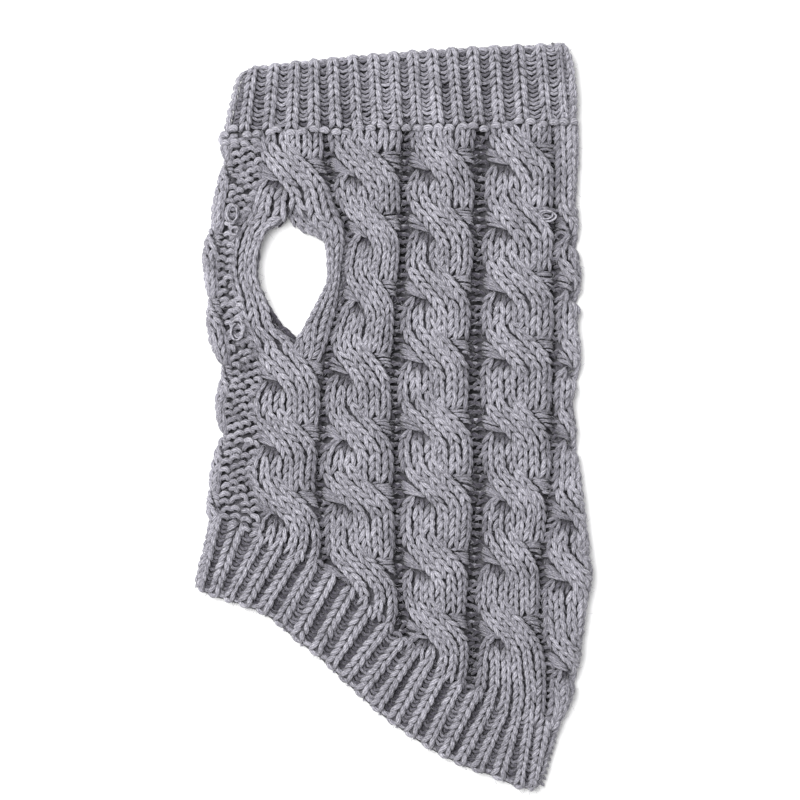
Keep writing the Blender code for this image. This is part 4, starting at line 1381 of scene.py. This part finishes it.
def under_place(name):
    """Where a cable of the lower layer lies. The folds' cables take up the outermost strips."""
    if name == "hole":
        return parted_place(UNDER_BAND_IN, "far")
    upper = cable_width_place(name)
    if name == "fourth":
        return lambda t, y: upper(0.0, y) + (upper(1.0, y) - UNDER_FOLD_IN - upper(0.0, y)) * t
    return upper


def under_runs():
    draw = np.random.RandomState(61)
    runs = []
    for name in ("hole", "second", "third", "fourth"):
        runs += cable_runs(name, under_place(name), on_underside, draw, PLAIN_STATIONS)
    for ribs, point, reach in UNDER_BANDS:
        for rib in ribs:
            x, y = point(rib, reach)
            x2, _ = point(rib + 1, reach)
            width = UNDER_RIB_SHARE * np.abs(x2 - x)
            wale = knit_wale(x, y, UNDER_RIB_TOP, UNDER_RIB_DROP, width, (), RIB_ROW, draw,
                             yarn=PLAIN_STATIONS)
            runs.append(on_underside(*wale))
    return runs


def under_bumps():
    """Purl of the lower layer, between its cables and between its ribs."""
    draw = np.random.RandomState(62)
    runs = []

    def row(x, y, span):
        runs.append(on_underside(*purl_bumps(x, y, UNDER_BUMP_TOP, span, 0, draw, UNDER_BUMP_SIZE,
                                             PLAIN_STATIONS)))

    for name, out in UNDER_DITCHES:
        x = line_x(name, PURL_ROWS) + out
        inside = within_seams(x, PURL_ROWS, 1.0, 1.0)
        row(x[inside], PURL_ROWS[inside], UNDER_BUMP_SPAN)
    for ribs, point, _ in UNDER_BANDS:
        for rib in ribs + 0.5:
            x, y = point(rib, UNDER_BUMPS)
            x2, _ = point(rib + 1, UNDER_BUMPS)
            row(x, y, UNDER_BUMP_SHARE * np.abs(x2 - x))
    return runs


under_stitches = lay_yarn("underside_stitches", under_runs(), YARN_GREY, YARN_PLAIN, 63)
under_purl = lay_yarn("underside_purl", under_bumps(), YARN_GREY, YARN_PLAIN, 64)


# ---- Floor, light and camera -----------------------------------------------------------------------
# A plain white table top, two large soft boxes above and to the left, and a camera straight above. The
# room's own light is pale and even.
bpy.ops.mesh.primitive_plane_add(size=6.0)
floor = bpy.context.object
floor.name = "floor"
white_table, _, _ = new_material("white_table", {"Base Color": linear("fcfcfc"), "Roughness": 0.8})
floor.data.materials.append(white_table)
floor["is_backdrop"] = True

CAMERA_HEIGHT = 1.2    # in metres, as all sizes of this section
VIEW_WIDTH = 0.400     # how much of the floor the camera sees, at the height of the stitches' tops
STITCH_HEIGHT = 0.010
SENSOR = 36.0          # but this one is in mm
VIEW_CENTRE = (0.00475, 0.00825)


def soft_box(name, place, size, power):
    lamp = bpy.data.lights.new(name, "AREA")
    lamp.shape = "SQUARE"
    lamp.size = size
    lamp.energy = power
    holder = bpy.data.objects.new(name, lamp)
    holder.location = place
    aim = -holder.location
    holder.rotation_euler = aim.to_track_quat("-Z", "Y").to_euler()
    bpy.context.scene.collection.objects.link(holder)


soft_box("key", (-0.56, 0.50, 1.5), 1.1, 36.5)
soft_box("fill", (-0.9, -0.3, 1.4), 1.2, 4.5)
world = bpy.data.worlds.new("studio")
world.use_nodes = True
world.node_tree.nodes["Background"].inputs["Color"].default_value = linear("ffffff")
world.node_tree.nodes["Background"].inputs["Strength"].default_value = 0.56
bpy.context.scene.world = world

lens = bpy.data.cameras.new("camera")
lens.sensor_width = SENSOR
lens.lens = SENSOR * (CAMERA_HEIGHT - STITCH_HEIGHT) / VIEW_WIDTH
camera = bpy.data.objects.new("camera", lens)
camera.location = (*VIEW_CENTRE, CAMERA_HEIGHT)
bpy.context.scene.collection.objects.link(camera)
bpy.context.scene.camera = camera

sizes = {"cad": cad_box, "scene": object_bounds()}
{name: [list(corner) for corner in box] for name, box in sizes.items()}
